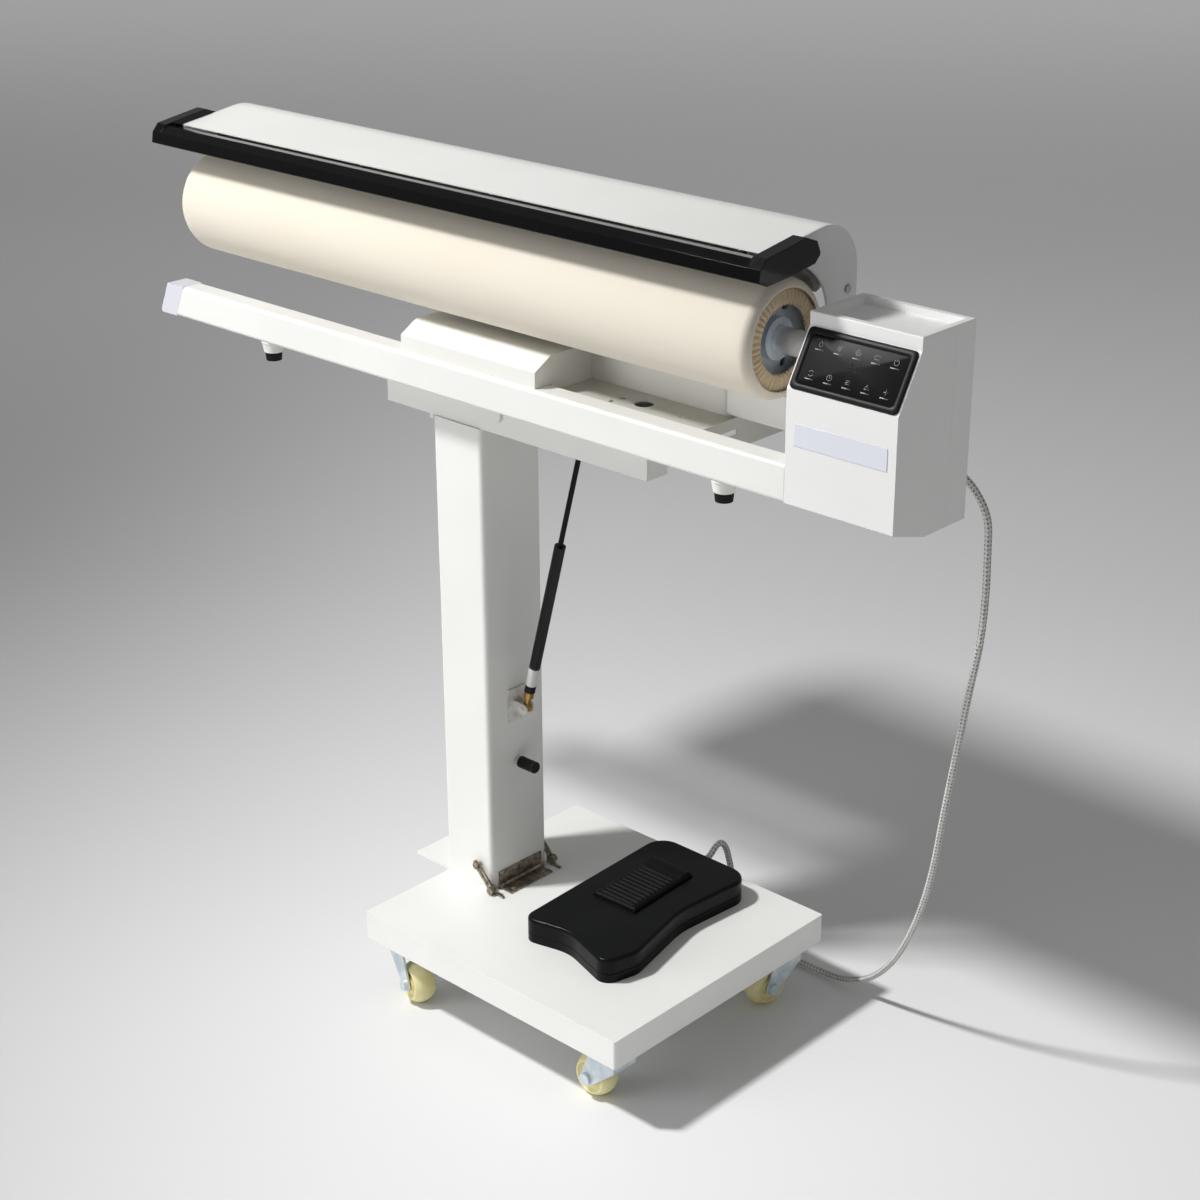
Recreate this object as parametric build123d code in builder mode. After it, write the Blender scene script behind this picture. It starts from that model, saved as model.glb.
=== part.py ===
"""Flatwork ironer on a wheeled stand, in millimetres.

X runs along the roller with the control box at +X, -Y is the ironing side, Z is up.
The origin is on the floor, under the middle of the machine's length.
"""

from build123d import *
import math
import os

# ---- Casters -------------------------------------------------------------
wheel_radius = 25.0
wheel_width = 26.0
wheel_crown = 5.0
hub_radius = 9.0
axle_radius = 4.0
caster_trail = 24.0
caster_height = 72.0
caster_plate = 60.0
caster_plate_thickness = 2.5
caster_bolt_pitch = 46.0
kingpin_radius = 5.0
kingpin_head_radius = 8.0
race_radius = 19.0
race_height = 3.4
fork_sheet = 3.0
fork_leg = 2.5
fork_side_gap = 1.5
running_clearance = 0.05
turning_gap = 0.1

# ---- Base ----------------------------------------------------------------
base_left = -116.5
base_length = 395.0
base_depth = 355.0
base_height = 35.0
base_sheet = 2.0
base_flange = 78.0
caster_inset_x = 34.5
caster_inset_y = 34.0

# ---- Column and its foot hinge -------------------------------------------
column_size_x = 76.2
column_size_y = 91.5
column_height = 575.0
column_wall = 2.0
column_corner = 6.0
foot_plate_thickness = 4.0
foot_plate_tongue = 55.0
hinge_barrel_radius = 3.0
hinge_pin_radius = 1.5
hinge_length = 70.0
hinge_leaf_sheet = 2.0
hinge_leaf_reach = 17.5
hinge_seat_gap = 0.3

# ---- Latches -------------------------------------------------------------
latch_reach = 34.0
latch_lean = 44.0
latch_width = 7.0
latch_sheet = 2.0
latch_stud_radius = 2.5
latch_pivot_radius = 3.0
latch_mouth_play = 0.8

# ---- Pedal ---------------------------------------------------------------
pedal_height = 30.0
pedal_base_height = 11.0
pedal_wall = 2.5
treadle_thickness = 5.0
treadle_gap = 0.8
treadle_pin_radius = 2.0
pedal_spring_radius = 6.0

# ---- Gas spring and bumper -----------------------------------------------
spring_foot_height = 230.0
spring_foot_reach = 16.3
spring_head_reach = 91.0
spring_tube_radius = 6.5
spring_bore_radius = 5.5
spring_rod_radius = 3.0
spring_tube_length = 200.0
spring_pin_radius = 3.0
spring_eye_radius = 6.0
bumper_height = 157.0
bumper_radius = 7.0

# ---- Folding head: saddle and frame --------------------------------------
head_pivot_reach = 23.3
head_pivot_height = 22.0
head_pin_radius = 5.0
saddle_left = -191.8
saddle_right = 200.1
saddle_width = 86.0
saddle_height = 45.0
saddle_sheet = 2.0
beam_front = -89.5
beam_depth = 28.0
beam_height = 38.0
beam_wall = 2.0
beam_left = -512.4
beam_slant = 17.4
beam_cap_length = 30.03
tray_rise = 30.0
tray_sheet = 1.5
tray_right = 283.5
tray_back = 84.0
cross_member_width = 40.0

# ---- Covers behind and under the roller ----------------------------------
cover_left = -119.0
front_cover_right = 83.5
rear_housing_right = 275.0
rear_housing_back = 75.0
cover_wall = 2.5
front_cover_rise = 39.0
rear_housing_rise = 43.0
rear_tower_rise = 103.0

# ---- Roller --------------------------------------------------------------
roller_left = -487.0
roller_length = 860.0
roller_radius = 59.5
roller_axis_y = -40.0
roller_rise = 139.0
roller_cloth = 1.2
roller_core_radius = 52.0
roller_core_wall = 2.0
roller_shaft_radius = 13.0
roller_opening_radius = 47.0
roller_end_rounding = 24.0

# ---- Hood with its shoe --------------------------------------------------
hood_end_gap = 4.5
hood_sheet = 1.5
hood_panel_sheet = 3.0
hood_pivot_y = 46.0
hood_pivot_lift = 33.0
hood_open_angle = 8.0
shoe_clearance = 0.5
shoe_thickness = 6.0
hood_rod_radius = 5.0
handle_bar = 16.0

# ---- Control box and drive -----------------------------------------------
box_left = 414.2
box_width = 126.55
box_wall = 2.0
box_front = -89.4
box_back = 23.9
box_slope_top_y = -57.7
box_seam_y = -6.0
gear_module = 1.0
gear_teeth = 40
pinion_teeth = 10
gear_width = 8.0
motor_radius = 26.0
motor_length = 80.0

# ---- Cable ---------------------------------------------------------------
cable_radius = 3.75

# ---- Levels and places worked out from the sizes above --------------------
base_top = caster_height + base_height
base_right = base_left + base_length
column_left = base_left
column_right = column_left + column_size_x
column_middle = (column_left + column_right) / 2
column_top = base_top + column_height
foot_top = base_top + foot_plate_thickness
hinge_x = column_right + hinge_barrel_radius + hinge_seat_gap
head_pivot_x = column_right + head_pivot_reach
head_pivot_z = column_top + head_pivot_height
saddle_bottom = column_top
saddle_top = saddle_bottom + saddle_height
tray_top = saddle_top + tray_rise
beam_bottom = saddle_top
beam_top = beam_bottom + beam_height
roller_right = roller_left + roller_length
roller_axis_z = saddle_top + roller_rise
hood_left = roller_left - hood_end_gap
hood_right = roller_right + hood_end_gap
hood_pivot_z = roller_axis_z + hood_pivot_lift
box_right = box_left + box_width
box_top = roller_axis_z + 41.0
box_bottom = saddle_top - 14.5

os.makedirs("parts", exist_ok=True)
LOW = (Align.CENTER, Align.CENTER, Align.MIN)


def save(piece, label):
    """Label a finished piece and write it under its own name."""
    piece.part.label = label
    export_step(piece.part, f"parts/{label}.step")


def save_group(label, *pieces):
    """Write several separate solids under one name."""
    group = Compound([solid for piece in pieces for solid in piece.part.solids()])
    group.label = label
    export_step(group, f"parts/{label}.step")


def block(x_span, y_span, z_span, mode=Mode.ADD):
    """Box between two bounds on each axis."""
    centre = tuple(sum(span) / 2 for span in (x_span, y_span, z_span))
    sizes = [span[1] - span[0] for span in (x_span, y_span, z_span)]
    with Locations(centre):
        Box(*sizes, mode=mode)


def rod(start, end, radius, mode=Mode.ADD):
    """Round bar between two points."""
    run = Vector(*end) - Vector(*start)
    with Locations(Plane(origin=start, z_dir=run).location):
        Cylinder(radius, run.length, align=LOW, mode=mode)


def cone(start, end, start_radius, end_radius, mode=Mode.ADD):
    """Tapered bar between two points."""
    run = Vector(*end) - Vector(*start)
    with Locations(Plane(origin=start, z_dir=run).location):
        Cone(start_radius, end_radius, run.length, align=LOW, mode=mode)


def outline(plane, *points):
    """Closed polygon on a plane, as a face."""
    with BuildSketch(plane) as face:
        with BuildLine():
            Polyline(*points, close=True)
        make_face()
    return face.sketch


def side_plane(x):
    """Plane across the machine at x, with local axes Y and Z, facing +X."""
    return Plane.YZ.offset(x)


def front_plane(y):
    """Plane along the machine at y, with local axes X and Z, facing -Y."""
    return Plane.XZ.offset(-y)


def path_ribbon(plane, thickness, radius, *points):
    """Strip of sheet that follows rounded runs, seen edge on, as a face."""
    with BuildSketch(plane) as strip:
        with BuildLine():
            FilletPolyline(*points, radius=radius)
            offset(amount=thickness, side=Side.RIGHT)
        make_face()
    return strip.sketch


# ==== Casters ==============================================================
caster_left = base_left + caster_inset_x
caster_right = base_right - caster_inset_x
caster_side = base_depth / 2 - caster_inset_y
caster_places = {
    "front_left": (caster_left, -caster_side, -18.0),
    "front_right": (caster_right, -caster_side, 178.0),
    "rear_left": (caster_left, caster_side, 30.0),
    "rear_right": (caster_right, caster_side, -100.0),
}
race_bottom = caster_height - caster_plate_thickness - race_height
fork_top = race_bottom - turning_gap
fork_under = fork_top - fork_sheet
leg_inside = wheel_width / 2 + fork_side_gap
leg_outside = leg_inside + fork_leg
fork_crown_radius = leg_outside + 4
brake_pin = (16.0, fork_under - 6.0)
brake_pin_radius = 2.0


def caster_frame(x, y, heading):
    """Frame with its origin under the swivel axis and +X along the trail."""
    turn = math.radians(heading)
    return Plane(origin=(x, y, 0), x_dir=(math.cos(turn), math.sin(turn), 0), z_dir=(0, 0, 1))


def leg_plane(frame, side):
    """Upright plane of a fork leg, at a distance to the side of the trail."""
    origin = frame.from_local_coords(Vector(0, side, 0))
    return Plane(origin=origin, x_dir=frame.x_dir, z_dir=frame.y_dir * -1)


def make_fork(frame, braked):
    """Fork with two legs, a rear web and the axle bolt, of one caster."""
    with BuildPart(frame) as fork:
        with Locations((0, 0, fork_under)):
            Cylinder(fork_crown_radius, fork_sheet, align=LOW)
        for side in (leg_outside, -leg_inside):
            with BuildSketch(leg_plane(frame, side)) as leg:
                with Locations((0, fork_top - 8)):
                    Rectangle(2 * hub_radius + 18, 16)
                with Locations((caster_trail, wheel_radius)):
                    Circle(hub_radius)
                make_hull()
            extrude(leg.sketch, amount=fork_leg)
        block((-18, -15.5), (-leg_outside, leg_outside), (fork_top - 16, fork_top))
        with Locations((0, 0, fork_under - 1)):
            Cylinder(kingpin_radius + running_clearance, fork_sheet + 2, align=LOW, mode=Mode.SUBTRACT)
        side_ends = ((caster_trail, -leg_outside - 1, wheel_radius), (caster_trail, leg_outside + 1, wheel_radius))
        rod(*side_ends, axle_radius, mode=Mode.SUBTRACT)
        if braked:
            pin_ends = ((brake_pin[0], -leg_outside, brake_pin[1]), (brake_pin[0], leg_outside, brake_pin[1]))
            rod(*pin_ends, brake_pin_radius)
    with BuildPart(frame) as bolt:
        rod((caster_trail, -leg_outside, wheel_radius), (caster_trail, leg_outside, wheel_radius), axle_radius)
        for side in (-1, 1):
            start = (caster_trail, side * leg_outside, wheel_radius)
            end = (caster_trail, side * (leg_outside + 4), wheel_radius)
            rod(start, end, hub_radius - 2)
    return fork, bolt


def make_wheel(frame):
    """Crowned wheel with a recessed hub and a bore that runs on the axle."""
    half = wheel_width / 2
    edge = wheel_radius - wheel_crown
    origin = frame.from_local_coords(Vector(caster_trail, 0, wheel_radius))
    across = Plane(origin=origin, x_dir=frame.y_dir, z_dir=frame.x_dir)
    bore = axle_radius + running_clearance
    with BuildPart() as wheel:
        with BuildSketch(across):
            with BuildLine():
                Polyline((-half, edge), (-half, edge - 2), (-half + 3, edge - 5), (-half + 3, hub_radius + 1),
                         (-half, hub_radius), (-half, bore), (half, bore), (half, hub_radius),
                         (half - 3, hub_radius + 1), (half - 3, edge - 5), (half, edge - 2), (half, edge))
                ThreePointArc((half, edge), (0, wheel_radius), (-half, edge))
            make_face()
        revolve(axis=Axis(origin, frame.y_dir))
    return wheel


for place, (swivel_x, swivel_y, heading) in caster_places.items():
    frame = caster_frame(swivel_x, swivel_y, heading)
    save_group(f"caster_fork_{place}", *make_fork(frame, place == "front_right"))
    save(make_wheel(frame), f"caster_wheel_{place}")

swivel_points = [(x, y) for x, y, _ in caster_places.values()]
with BuildPart() as caster_mounts:
    with Locations([(x, y, caster_height - caster_plate_thickness) for x, y in swivel_points]):
        Box(caster_plate, caster_plate, caster_plate_thickness, align=LOW)
    with Locations([(x, y, race_bottom) for x, y in swivel_points]):
        Cylinder(race_radius, race_height, align=LOW)
    with Locations([(x, y, fork_under - turning_gap) for x, y in swivel_points]):
        Cylinder(kingpin_radius, race_bottom - fork_under + turning_gap, align=LOW)
    with Locations([(x, y, fork_under - turning_gap - 3) for x, y in swivel_points]):
        Cylinder(kingpin_head_radius, 3, align=LOW)
    for x, y in swivel_points:
        with Locations((x, y, caster_height)):
            with GridLocations(caster_bolt_pitch, caster_bolt_pitch, 2, 2):
                Hole(3.0, depth=caster_plate_thickness)

with BuildPart() as caster_bolts:
    for x, y in swivel_points:
        with Locations((x, y, caster_height - caster_plate_thickness)):
            with GridLocations(caster_bolt_pitch, caster_bolt_pitch, 2, 2):
                Cylinder(3.0, caster_plate_thickness + base_sheet + 5, align=LOW)
        with Locations((x, y, caster_height - caster_plate_thickness - 3)):
            with GridLocations(caster_bolt_pitch, caster_bolt_pitch, 2, 2):
                Cylinder(5.0, 3, align=LOW)
save_group("caster_mounts", caster_mounts, caster_bolts)

# ---- Brake lever of the front right caster --------------------------------
brake_frame = caster_frame(*caster_places["front_right"])
brake_half_width = leg_inside - 2.5
brake_tip = 92.0
brake_rise = 7.0
brake_barrel = brake_pin_radius + 1.5
with BuildPart() as caster_brake_lever:
    with BuildSketch(leg_plane(brake_frame, brake_half_width)):
        with BuildLine():
            top_z = brake_pin[1] + brake_barrel
            Polyline(
                (brake_pin[0], top_z - 2),
                (brake_pin[0], top_z),
                (brake_tip, top_z + brake_rise),
                (brake_tip + 1, top_z + brake_rise - 6),
                (brake_tip - 2, top_z + brake_rise - 6),
                (brake_tip - 2, top_z + brake_rise - 2),
                close=True,
            )
        make_face()
        with Locations((brake_pin[0], brake_pin[1])):
            Circle(brake_barrel)
        with Locations((brake_pin[0] + 14, brake_pin[1] - 1.1)):
            Rectangle(3, 9.4)
        with Locations((brake_pin[0], brake_pin[1])):
            Circle(brake_pin_radius + running_clearance, mode=Mode.SUBTRACT)
    extrude(amount=2 * brake_half_width)
    for tooth in range(4):
        for side in (-1, 1):
            spot = brake_frame.from_local_coords(Vector(60 + 8 * tooth, side * brake_half_width, 0))
            with Locations(spot):
                Cylinder(2.0, caster_height, align=LOW, mode=Mode.SUBTRACT)
    for step in range(3):
        spot = brake_frame.from_local_coords(Vector(56 + 12 * step, 0, 0))
        with Locations(spot):
            Cylinder(3.0, caster_height, align=LOW, mode=Mode.SUBTRACT)
save(caster_brake_lever, "caster_brake_lever")

# ==== Base =================================================================
half_depth = base_depth / 2
with BuildPart() as base_plate:
    block((base_left, base_right), (-half_depth, half_depth), (caster_height, base_top))
    fillet(base_plate.edges().filter_by(Axis.Z), 3.0)
    inner_x = (base_left + base_sheet, base_right - base_sheet)
    inner_y = (-half_depth + base_sheet, half_depth - base_sheet)
    block(inner_x, inner_y, (caster_height + base_sheet, base_top - base_sheet), mode=Mode.SUBTRACT)
    middle_y = (-half_depth + base_flange, half_depth - base_flange)
    block(inner_x, middle_y, (caster_height, caster_height + base_sheet), mode=Mode.SUBTRACT)
    for x, y in swivel_points:
        with Locations((x, y, caster_height + base_sheet)):
            with GridLocations(caster_bolt_pitch, caster_bolt_pitch, 2, 2):
                Hole(3.0, depth=base_sheet)
save(base_plate, "base_plate")

# ==== Foot hinge ===========================================================
knuckle_count = 5
knuckle_length = hinge_length / knuckle_count
knuckle_gap = 0.2
leaf_right = hinge_x + hinge_leaf_reach
hinge_axis_z = foot_top
screw_head_radius = 3.2
screw_head_height = 1.2
leaf_screws_y = (-24.0, 0.0, 24.0)


def knuckles(numbers, bore_radius):
    """Barrel rings of one hinge leaf, numbered from the front."""
    for number in numbers:
        y_start = -hinge_length / 2 + number * knuckle_length + knuckle_gap / 2
        y_end = y_start + knuckle_length - knuckle_gap
        rod((hinge_x, y_start, hinge_axis_z), (hinge_x, y_end, hinge_axis_z), hinge_barrel_radius)
    start = (hinge_x, -hinge_length, hinge_axis_z)
    end = (hinge_x, hinge_length, hinge_axis_z)
    rod(start, end, bore_radius, mode=Mode.SUBTRACT)


def relieve(numbers, x_span, z_span):
    """Clear a leaf's sheet beside the other leaf's barrel rings."""
    for number in numbers:
        y_start = -hinge_length / 2 + number * knuckle_length - knuckle_gap / 2
        y_end = y_start + knuckle_length + knuckle_gap
        block(x_span, (y_start, y_end), z_span, mode=Mode.SUBTRACT)


lower_rings = range(0, knuckle_count, 2)
upper_rings = range(1, knuckle_count, 2)
half_hinge = hinge_length / 2 - knuckle_gap / 2
barrel_room = hinge_barrel_radius + hinge_seat_gap
with BuildPart() as foot_hinge_lower_leaf:
    block((hinge_x, leaf_right), (-half_hinge, half_hinge), (base_top, base_top + hinge_leaf_sheet))
    relieve(upper_rings, (hinge_x - 1, hinge_x + barrel_room), (base_top, foot_top))
    knuckles(lower_rings, hinge_pin_radius)
    for y in leaf_screws_y:
        with Locations((hinge_x + 0.62 * hinge_leaf_reach, y, base_top + hinge_leaf_sheet)):
            Hole(1.6, depth=hinge_leaf_sheet)

upper_leaf_top = foot_top + hinge_leaf_reach
upper_leaf_x = (column_right, column_right + hinge_leaf_sheet)
with BuildPart() as foot_hinge_upper_leaf:
    block(upper_leaf_x, (-half_hinge, half_hinge), (foot_top, upper_leaf_top))
    relieve(lower_rings, (column_right - 1, hinge_x), (foot_top - 1, foot_top + barrel_room))
    knuckles(upper_rings, hinge_pin_radius + running_clearance)
    for y in leaf_screws_y:
        hole_z = foot_top + 0.68 * hinge_leaf_reach
        rod((column_right - 1, y, hole_z), (column_right + 5, y, hole_z), 1.6, mode=Mode.SUBTRACT)

with BuildPart() as foot_hinge_pin:
    rod((hinge_x, -half_hinge, hinge_axis_z), (hinge_x, half_hinge, hinge_axis_z), hinge_pin_radius)
    for side in (-1, 1):
        start = (hinge_x, side * half_hinge, hinge_axis_z)
        end = (hinge_x, side * (half_hinge + 1.5), hinge_axis_z)
        rod(start, end, hinge_pin_radius + 0.8)

with BuildPart() as base_hinge_screws:
    for y in leaf_screws_y:
        with Locations((hinge_x + 0.62 * hinge_leaf_reach, y, base_top)):
            Cylinder(1.6, hinge_leaf_sheet, align=LOW)
        with Locations((hinge_x + 0.62 * hinge_leaf_reach, y, base_top + hinge_leaf_sheet)):
            Cylinder(screw_head_radius, screw_head_height, align=LOW)
save_group("foot_hinge_lower_leaf", foot_hinge_lower_leaf, foot_hinge_pin, base_hinge_screws)

with BuildPart() as column_hinge_screws:
    for y in leaf_screws_y:
        hole_z = foot_top + 0.68 * hinge_leaf_reach
        head_x = column_right + hinge_leaf_sheet
        rod((column_right, y, hole_z), (head_x, y, hole_z), 1.6)
        rod((head_x, y, hole_z), (head_x + screw_head_height, y, hole_z), screw_head_radius)
save_group("foot_hinge_upper_leaf", foot_hinge_upper_leaf, column_hinge_screws)

# ==== Latches ==============================================================
latch_pivot_x = hinge_x + 1.0
latch_pivot_z = foot_top + 2.0
lean = math.radians(latch_lean)
latch_stud_x = latch_pivot_x - latch_reach * math.sin(lean)
latch_stud_z = latch_pivot_z + latch_reach * math.cos(lean)
latch_gap = 0.4
bracket_inner = column_size_y / 2 + 0.75
bracket_sheet = 3.0
latch_inner = bracket_inner + bracket_sheet + latch_gap
latch_outer = latch_inner + latch_sheet

with BuildPart() as latch_brackets:
    for side in (-1, 1):
        y_span = sorted((side * bracket_inner, side * (bracket_inner + bracket_sheet)))
        block((latch_pivot_x - 5, latch_pivot_x + 7), y_span, (base_top, latch_pivot_z + 5))
        block((latch_pivot_x + 7, latch_pivot_x + 17), y_span, (base_top, base_top + 2.5))
        inner_end = (latch_pivot_x, side * bracket_inner, latch_pivot_z)
        head_start = (latch_pivot_x, side * (latch_outer + latch_gap), latch_pivot_z)
        head_end = (latch_pivot_x, side * (latch_outer + latch_gap + 3), latch_pivot_z)
        rod(inner_end, head_start, latch_pivot_radius)
        rod(head_start, head_end, latch_pivot_radius + 1.6)
save(latch_brackets, "latch_brackets")

with BuildPart() as latch_studs:
    for side in (-1, 1):
        start = (latch_stud_x, side * column_size_y / 2, latch_stud_z)
        neck = (latch_stud_x, side * (latch_outer + latch_gap), latch_stud_z)
        end = (latch_stud_x, side * (latch_outer + latch_gap + 2), latch_stud_z)
        rod(start, neck, latch_stud_radius)
        rod(neck, end, latch_stud_radius + 1.8)
save(latch_studs, "latch_studs")


def make_latch(side):
    """Slotted hook link whose mouth opens away from the column's swing."""
    y = latch_outer if side > 0 else -latch_inner
    origin = (latch_pivot_x, y, latch_pivot_z)
    along = (-math.sin(lean), 0, math.cos(lean))
    plane = Plane(origin=origin, x_dir=along, z_dir=(0, -1, 0))
    with BuildPart() as latch:
        with BuildSketch(plane):
            with Locations((latch_reach / 2 + 1, 0)):
                SlotOverall(latch_reach + latch_width + 4, latch_width + 2)
            with Locations((latch_reach / 2, 0)):
                SlotOverall(latch_reach - 14, 2.4, mode=Mode.SUBTRACT)
            Circle(latch_pivot_radius + running_clearance, mode=Mode.SUBTRACT)
            with Locations((latch_reach, 0)):
                Circle(latch_stud_radius + 0.3, mode=Mode.SUBTRACT)
            with Locations((latch_reach, latch_width)):
                Rectangle(2 * (latch_stud_radius + latch_mouth_play), 2 * latch_width, mode=Mode.SUBTRACT)
        extrude(amount=latch_sheet)
    return latch


save(make_latch(-1), "latch_front")
save(make_latch(1), "latch_rear")

# ==== Pedal ================================================================
pedal_points = ((60, -98), (121, -83), (196, -106), (207, -62), (184, 36), (194, 151), (50, 151))
pedal_roundings = (14, 60, 16, 30, 120, 26, 26)
pedal_seam = base_top + pedal_base_height
pedal_top = base_top + pedal_height
treadle_corners = ((87, -8), (151, -6), (145, 102), (82, 105))
treadle_axis_y = 98.0
treadle_axis_z = pedal_top - treadle_thickness
treadle_middle_x = sum(x for x, _ in treadle_corners) / 4


def pedal_outline(plane, inset):
    """Pedal's plan shape, drawn in by an inset."""
    with BuildSketch(plane) as face:
        with BuildLine():
            FilletPolyline(*pedal_points, radius=pedal_roundings, close=True)
        make_face()
        if inset:
            offset(amount=-inset, mode=Mode.REPLACE)
    return face.sketch


def treadle_outline(plane, growth):
    """Treadle's plan shape, grown by a margin."""
    with BuildSketch(plane) as face:
        with BuildLine():
            Polyline(*treadle_corners, close=True)
        make_face()
        offset(amount=growth, mode=Mode.REPLACE)
    return face.sketch


with BuildPart() as pedal_base:
    extrude(pedal_outline(Plane.XY.offset(base_top), 0.0), amount=pedal_base_height)
    chamfer(pedal_base.edges().group_by(Axis.Z)[-1], 0.6)
    floor_z = base_top + pedal_wall
    extrude(pedal_outline(Plane.XY.offset(floor_z), pedal_wall), amount=pedal_height, mode=Mode.SUBTRACT)
    with Locations((treadle_middle_x, 10, floor_z)):
        Cylinder(pedal_spring_radius - 2.5, 4, align=LOW)
with BuildPart() as pedal_cover:
    extrude(pedal_outline(Plane.XY.offset(pedal_seam), 0.0), amount=pedal_top - pedal_seam)
    chamfer(pedal_cover.edges().group_by(Axis.Z)[0], 0.6)
    fillet(pedal_cover.edges().group_by(Axis.Z)[-1], 4.0)
    inside = pedal_outline(Plane.XY.offset(pedal_seam), pedal_wall)
    extrude(inside, amount=pedal_top - pedal_seam - pedal_wall, mode=Mode.SUBTRACT)
    opening = treadle_outline(Plane.XY.offset(pedal_seam), treadle_gap)
    extrude(opening, amount=pedal_height, mode=Mode.SUBTRACT)
    for x in (treadle_corners[3][0] - treadle_gap - 3, treadle_corners[2][0] + treadle_gap):
        block((x, x + 3), (treadle_axis_y - 4, treadle_axis_y + 4), (treadle_axis_z - 4, pedal_top - 2))
    pin_start = (treadle_corners[3][0] - 3, treadle_axis_y, treadle_axis_z)
    pin_end = (treadle_corners[2][0] + 3, treadle_axis_y, treadle_axis_z)
    rod(pin_start, pin_end, treadle_pin_radius)
save(pedal_cover, "pedal_cover")

with BuildPart() as pedal_treadle:
    extrude(treadle_outline(Plane.XY.offset(pedal_top - treadle_thickness), 0.0), amount=treadle_thickness)
    ribs_from = treadle_corners[0][1] + 12
    for rib in range(11):
        y = ribs_from + 7.5 * rib
        block((treadle_corners[0][0] + 5, treadle_corners[2][0] - 5), (y, y + 4), (pedal_top, pedal_top + 2.5))
    barrel_x = (treadle_corners[3][0] + 3, treadle_corners[2][0] - 3)
    rod((barrel_x[0], treadle_axis_y, treadle_axis_z), (barrel_x[1], treadle_axis_y, treadle_axis_z), 4.0)
    bore = treadle_pin_radius + running_clearance
    start = (treadle_corners[3][0] - 10, treadle_axis_y, treadle_axis_z)
    end = (treadle_corners[2][0] + 10, treadle_axis_y, treadle_axis_z)
    rod(start, end, bore, mode=Mode.SUBTRACT)
save(pedal_treadle, "pedal_treadle")

with BuildPart() as pedal_spring:
    with Locations((treadle_middle_x, 10, base_top + pedal_wall)):
        Cylinder(pedal_spring_radius, treadle_axis_z - base_top - pedal_wall, align=LOW)
        Cylinder(pedal_spring_radius - 1.5, pedal_height, align=LOW, mode=Mode.SUBTRACT)
save(pedal_spring, "pedal_spring")

with BuildPart() as pedal_switch:
    block((treadle_middle_x - 12, treadle_middle_x + 12), (34, 56), (base_top + pedal_wall, pedal_seam + 1))
save_group("pedal_base", pedal_base, pedal_switch)

# ==== Column ===============================================================
with BuildPart() as column:
    block((column_left - foot_plate_tongue, column_right), (-45, 45), (base_top, foot_top))
    with BuildSketch(Plane.XY.offset(foot_top)):
        with Locations((column_middle, 0)):
            RectangleRounded(column_size_x, column_size_y, column_corner)
            RectangleRounded(column_size_x - 2 * column_wall, column_size_y - 2 * column_wall,
                             column_corner - column_wall, mode=Mode.SUBTRACT)
    extrude(amount=column_top - foot_top)
save(column, "column")

# ---- Bumper ---------------------------------------------------------------
bumper_z = base_top + bumper_height
bumper_spacer = 6.0
bumper_length = 25.2
with BuildPart() as bumper_post:
    rod((column_right, 0, bumper_z), (column_right + bumper_spacer, 0, bumper_z), bumper_radius - 1)
with BuildPart() as bumper:
    tip_x = column_right + bumper_spacer + bumper_length
    rod((column_right + bumper_spacer, 0, bumper_z), (tip_x, 0, bumper_z), bumper_radius)
    fillet(bumper.edges().group_by(Axis.X)[-1], 2.0)
save_group("bumper", bumper_post, bumper)

# ==== Gas spring ===========================================================
spring_foot = Vector(column_right + spring_foot_reach, 0, base_top + spring_foot_height)
spring_head = Vector(head_pivot_x + spring_head_reach, 0, head_pivot_z)
spring_run = spring_head - spring_foot
spring_axis = spring_run.normalized()
eye_half = 4.0
ear_gap = 0.4
ear_sheet = 2.5


def on_spring(distance):
    """Point on the gas spring's axis, measured from its lower pivot."""
    return tuple(spring_foot + spring_axis * distance)


ear_inner = eye_half + ear_gap
with BuildPart() as gas_spring_bracket:
    block((column_right, column_right + ear_sheet), (-14, 14), (spring_foot.Z - 19, spring_foot.Z + 22))
    for y_span in ((ear_inner, ear_inner + ear_sheet), (-ear_inner - ear_sheet, -ear_inner)):
        block((column_right, spring_foot.X), y_span, (spring_foot.Z - 7, spring_foot.Z + 7))
        rod((spring_foot.X, y_span[0], spring_foot.Z), (spring_foot.X, y_span[1], spring_foot.Z), 7.0)
    pin_half = ear_inner + ear_sheet + 2
    rod((spring_foot.X, -pin_half, spring_foot.Z), (spring_foot.X, pin_half, spring_foot.Z), spring_pin_radius)
save(gas_spring_bracket, "gas_spring_bracket")

fitting_end = 24.0
tube_end = fitting_end + spring_tube_length
with BuildPart() as gas_spring_fitting:
    rod((spring_foot.X, -eye_half, spring_foot.Z), (spring_foot.X, eye_half, spring_foot.Z), spring_eye_radius)
    rod(on_spring(0), on_spring(fitting_end), 3.6)
    rod(on_spring(fitting_end - 8), on_spring(fitting_end), spring_tube_radius - 0.5)
    pin_bore = spring_pin_radius + running_clearance
    rod((spring_foot.X, -20, spring_foot.Z), (spring_foot.X, 20, spring_foot.Z), pin_bore, mode=Mode.SUBTRACT)

with BuildPart() as gas_spring_tube:
    rod(on_spring(fitting_end), on_spring(tube_end), spring_tube_radius)
    rod(on_spring(fitting_end + 2), on_spring(tube_end - 8), spring_bore_radius, mode=Mode.SUBTRACT)
    rod(on_spring(tube_end - 10), on_spring(tube_end + 1), spring_rod_radius + running_clearance, mode=Mode.SUBTRACT)
save_group("gas_spring_tube", gas_spring_tube, gas_spring_fitting)

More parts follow.
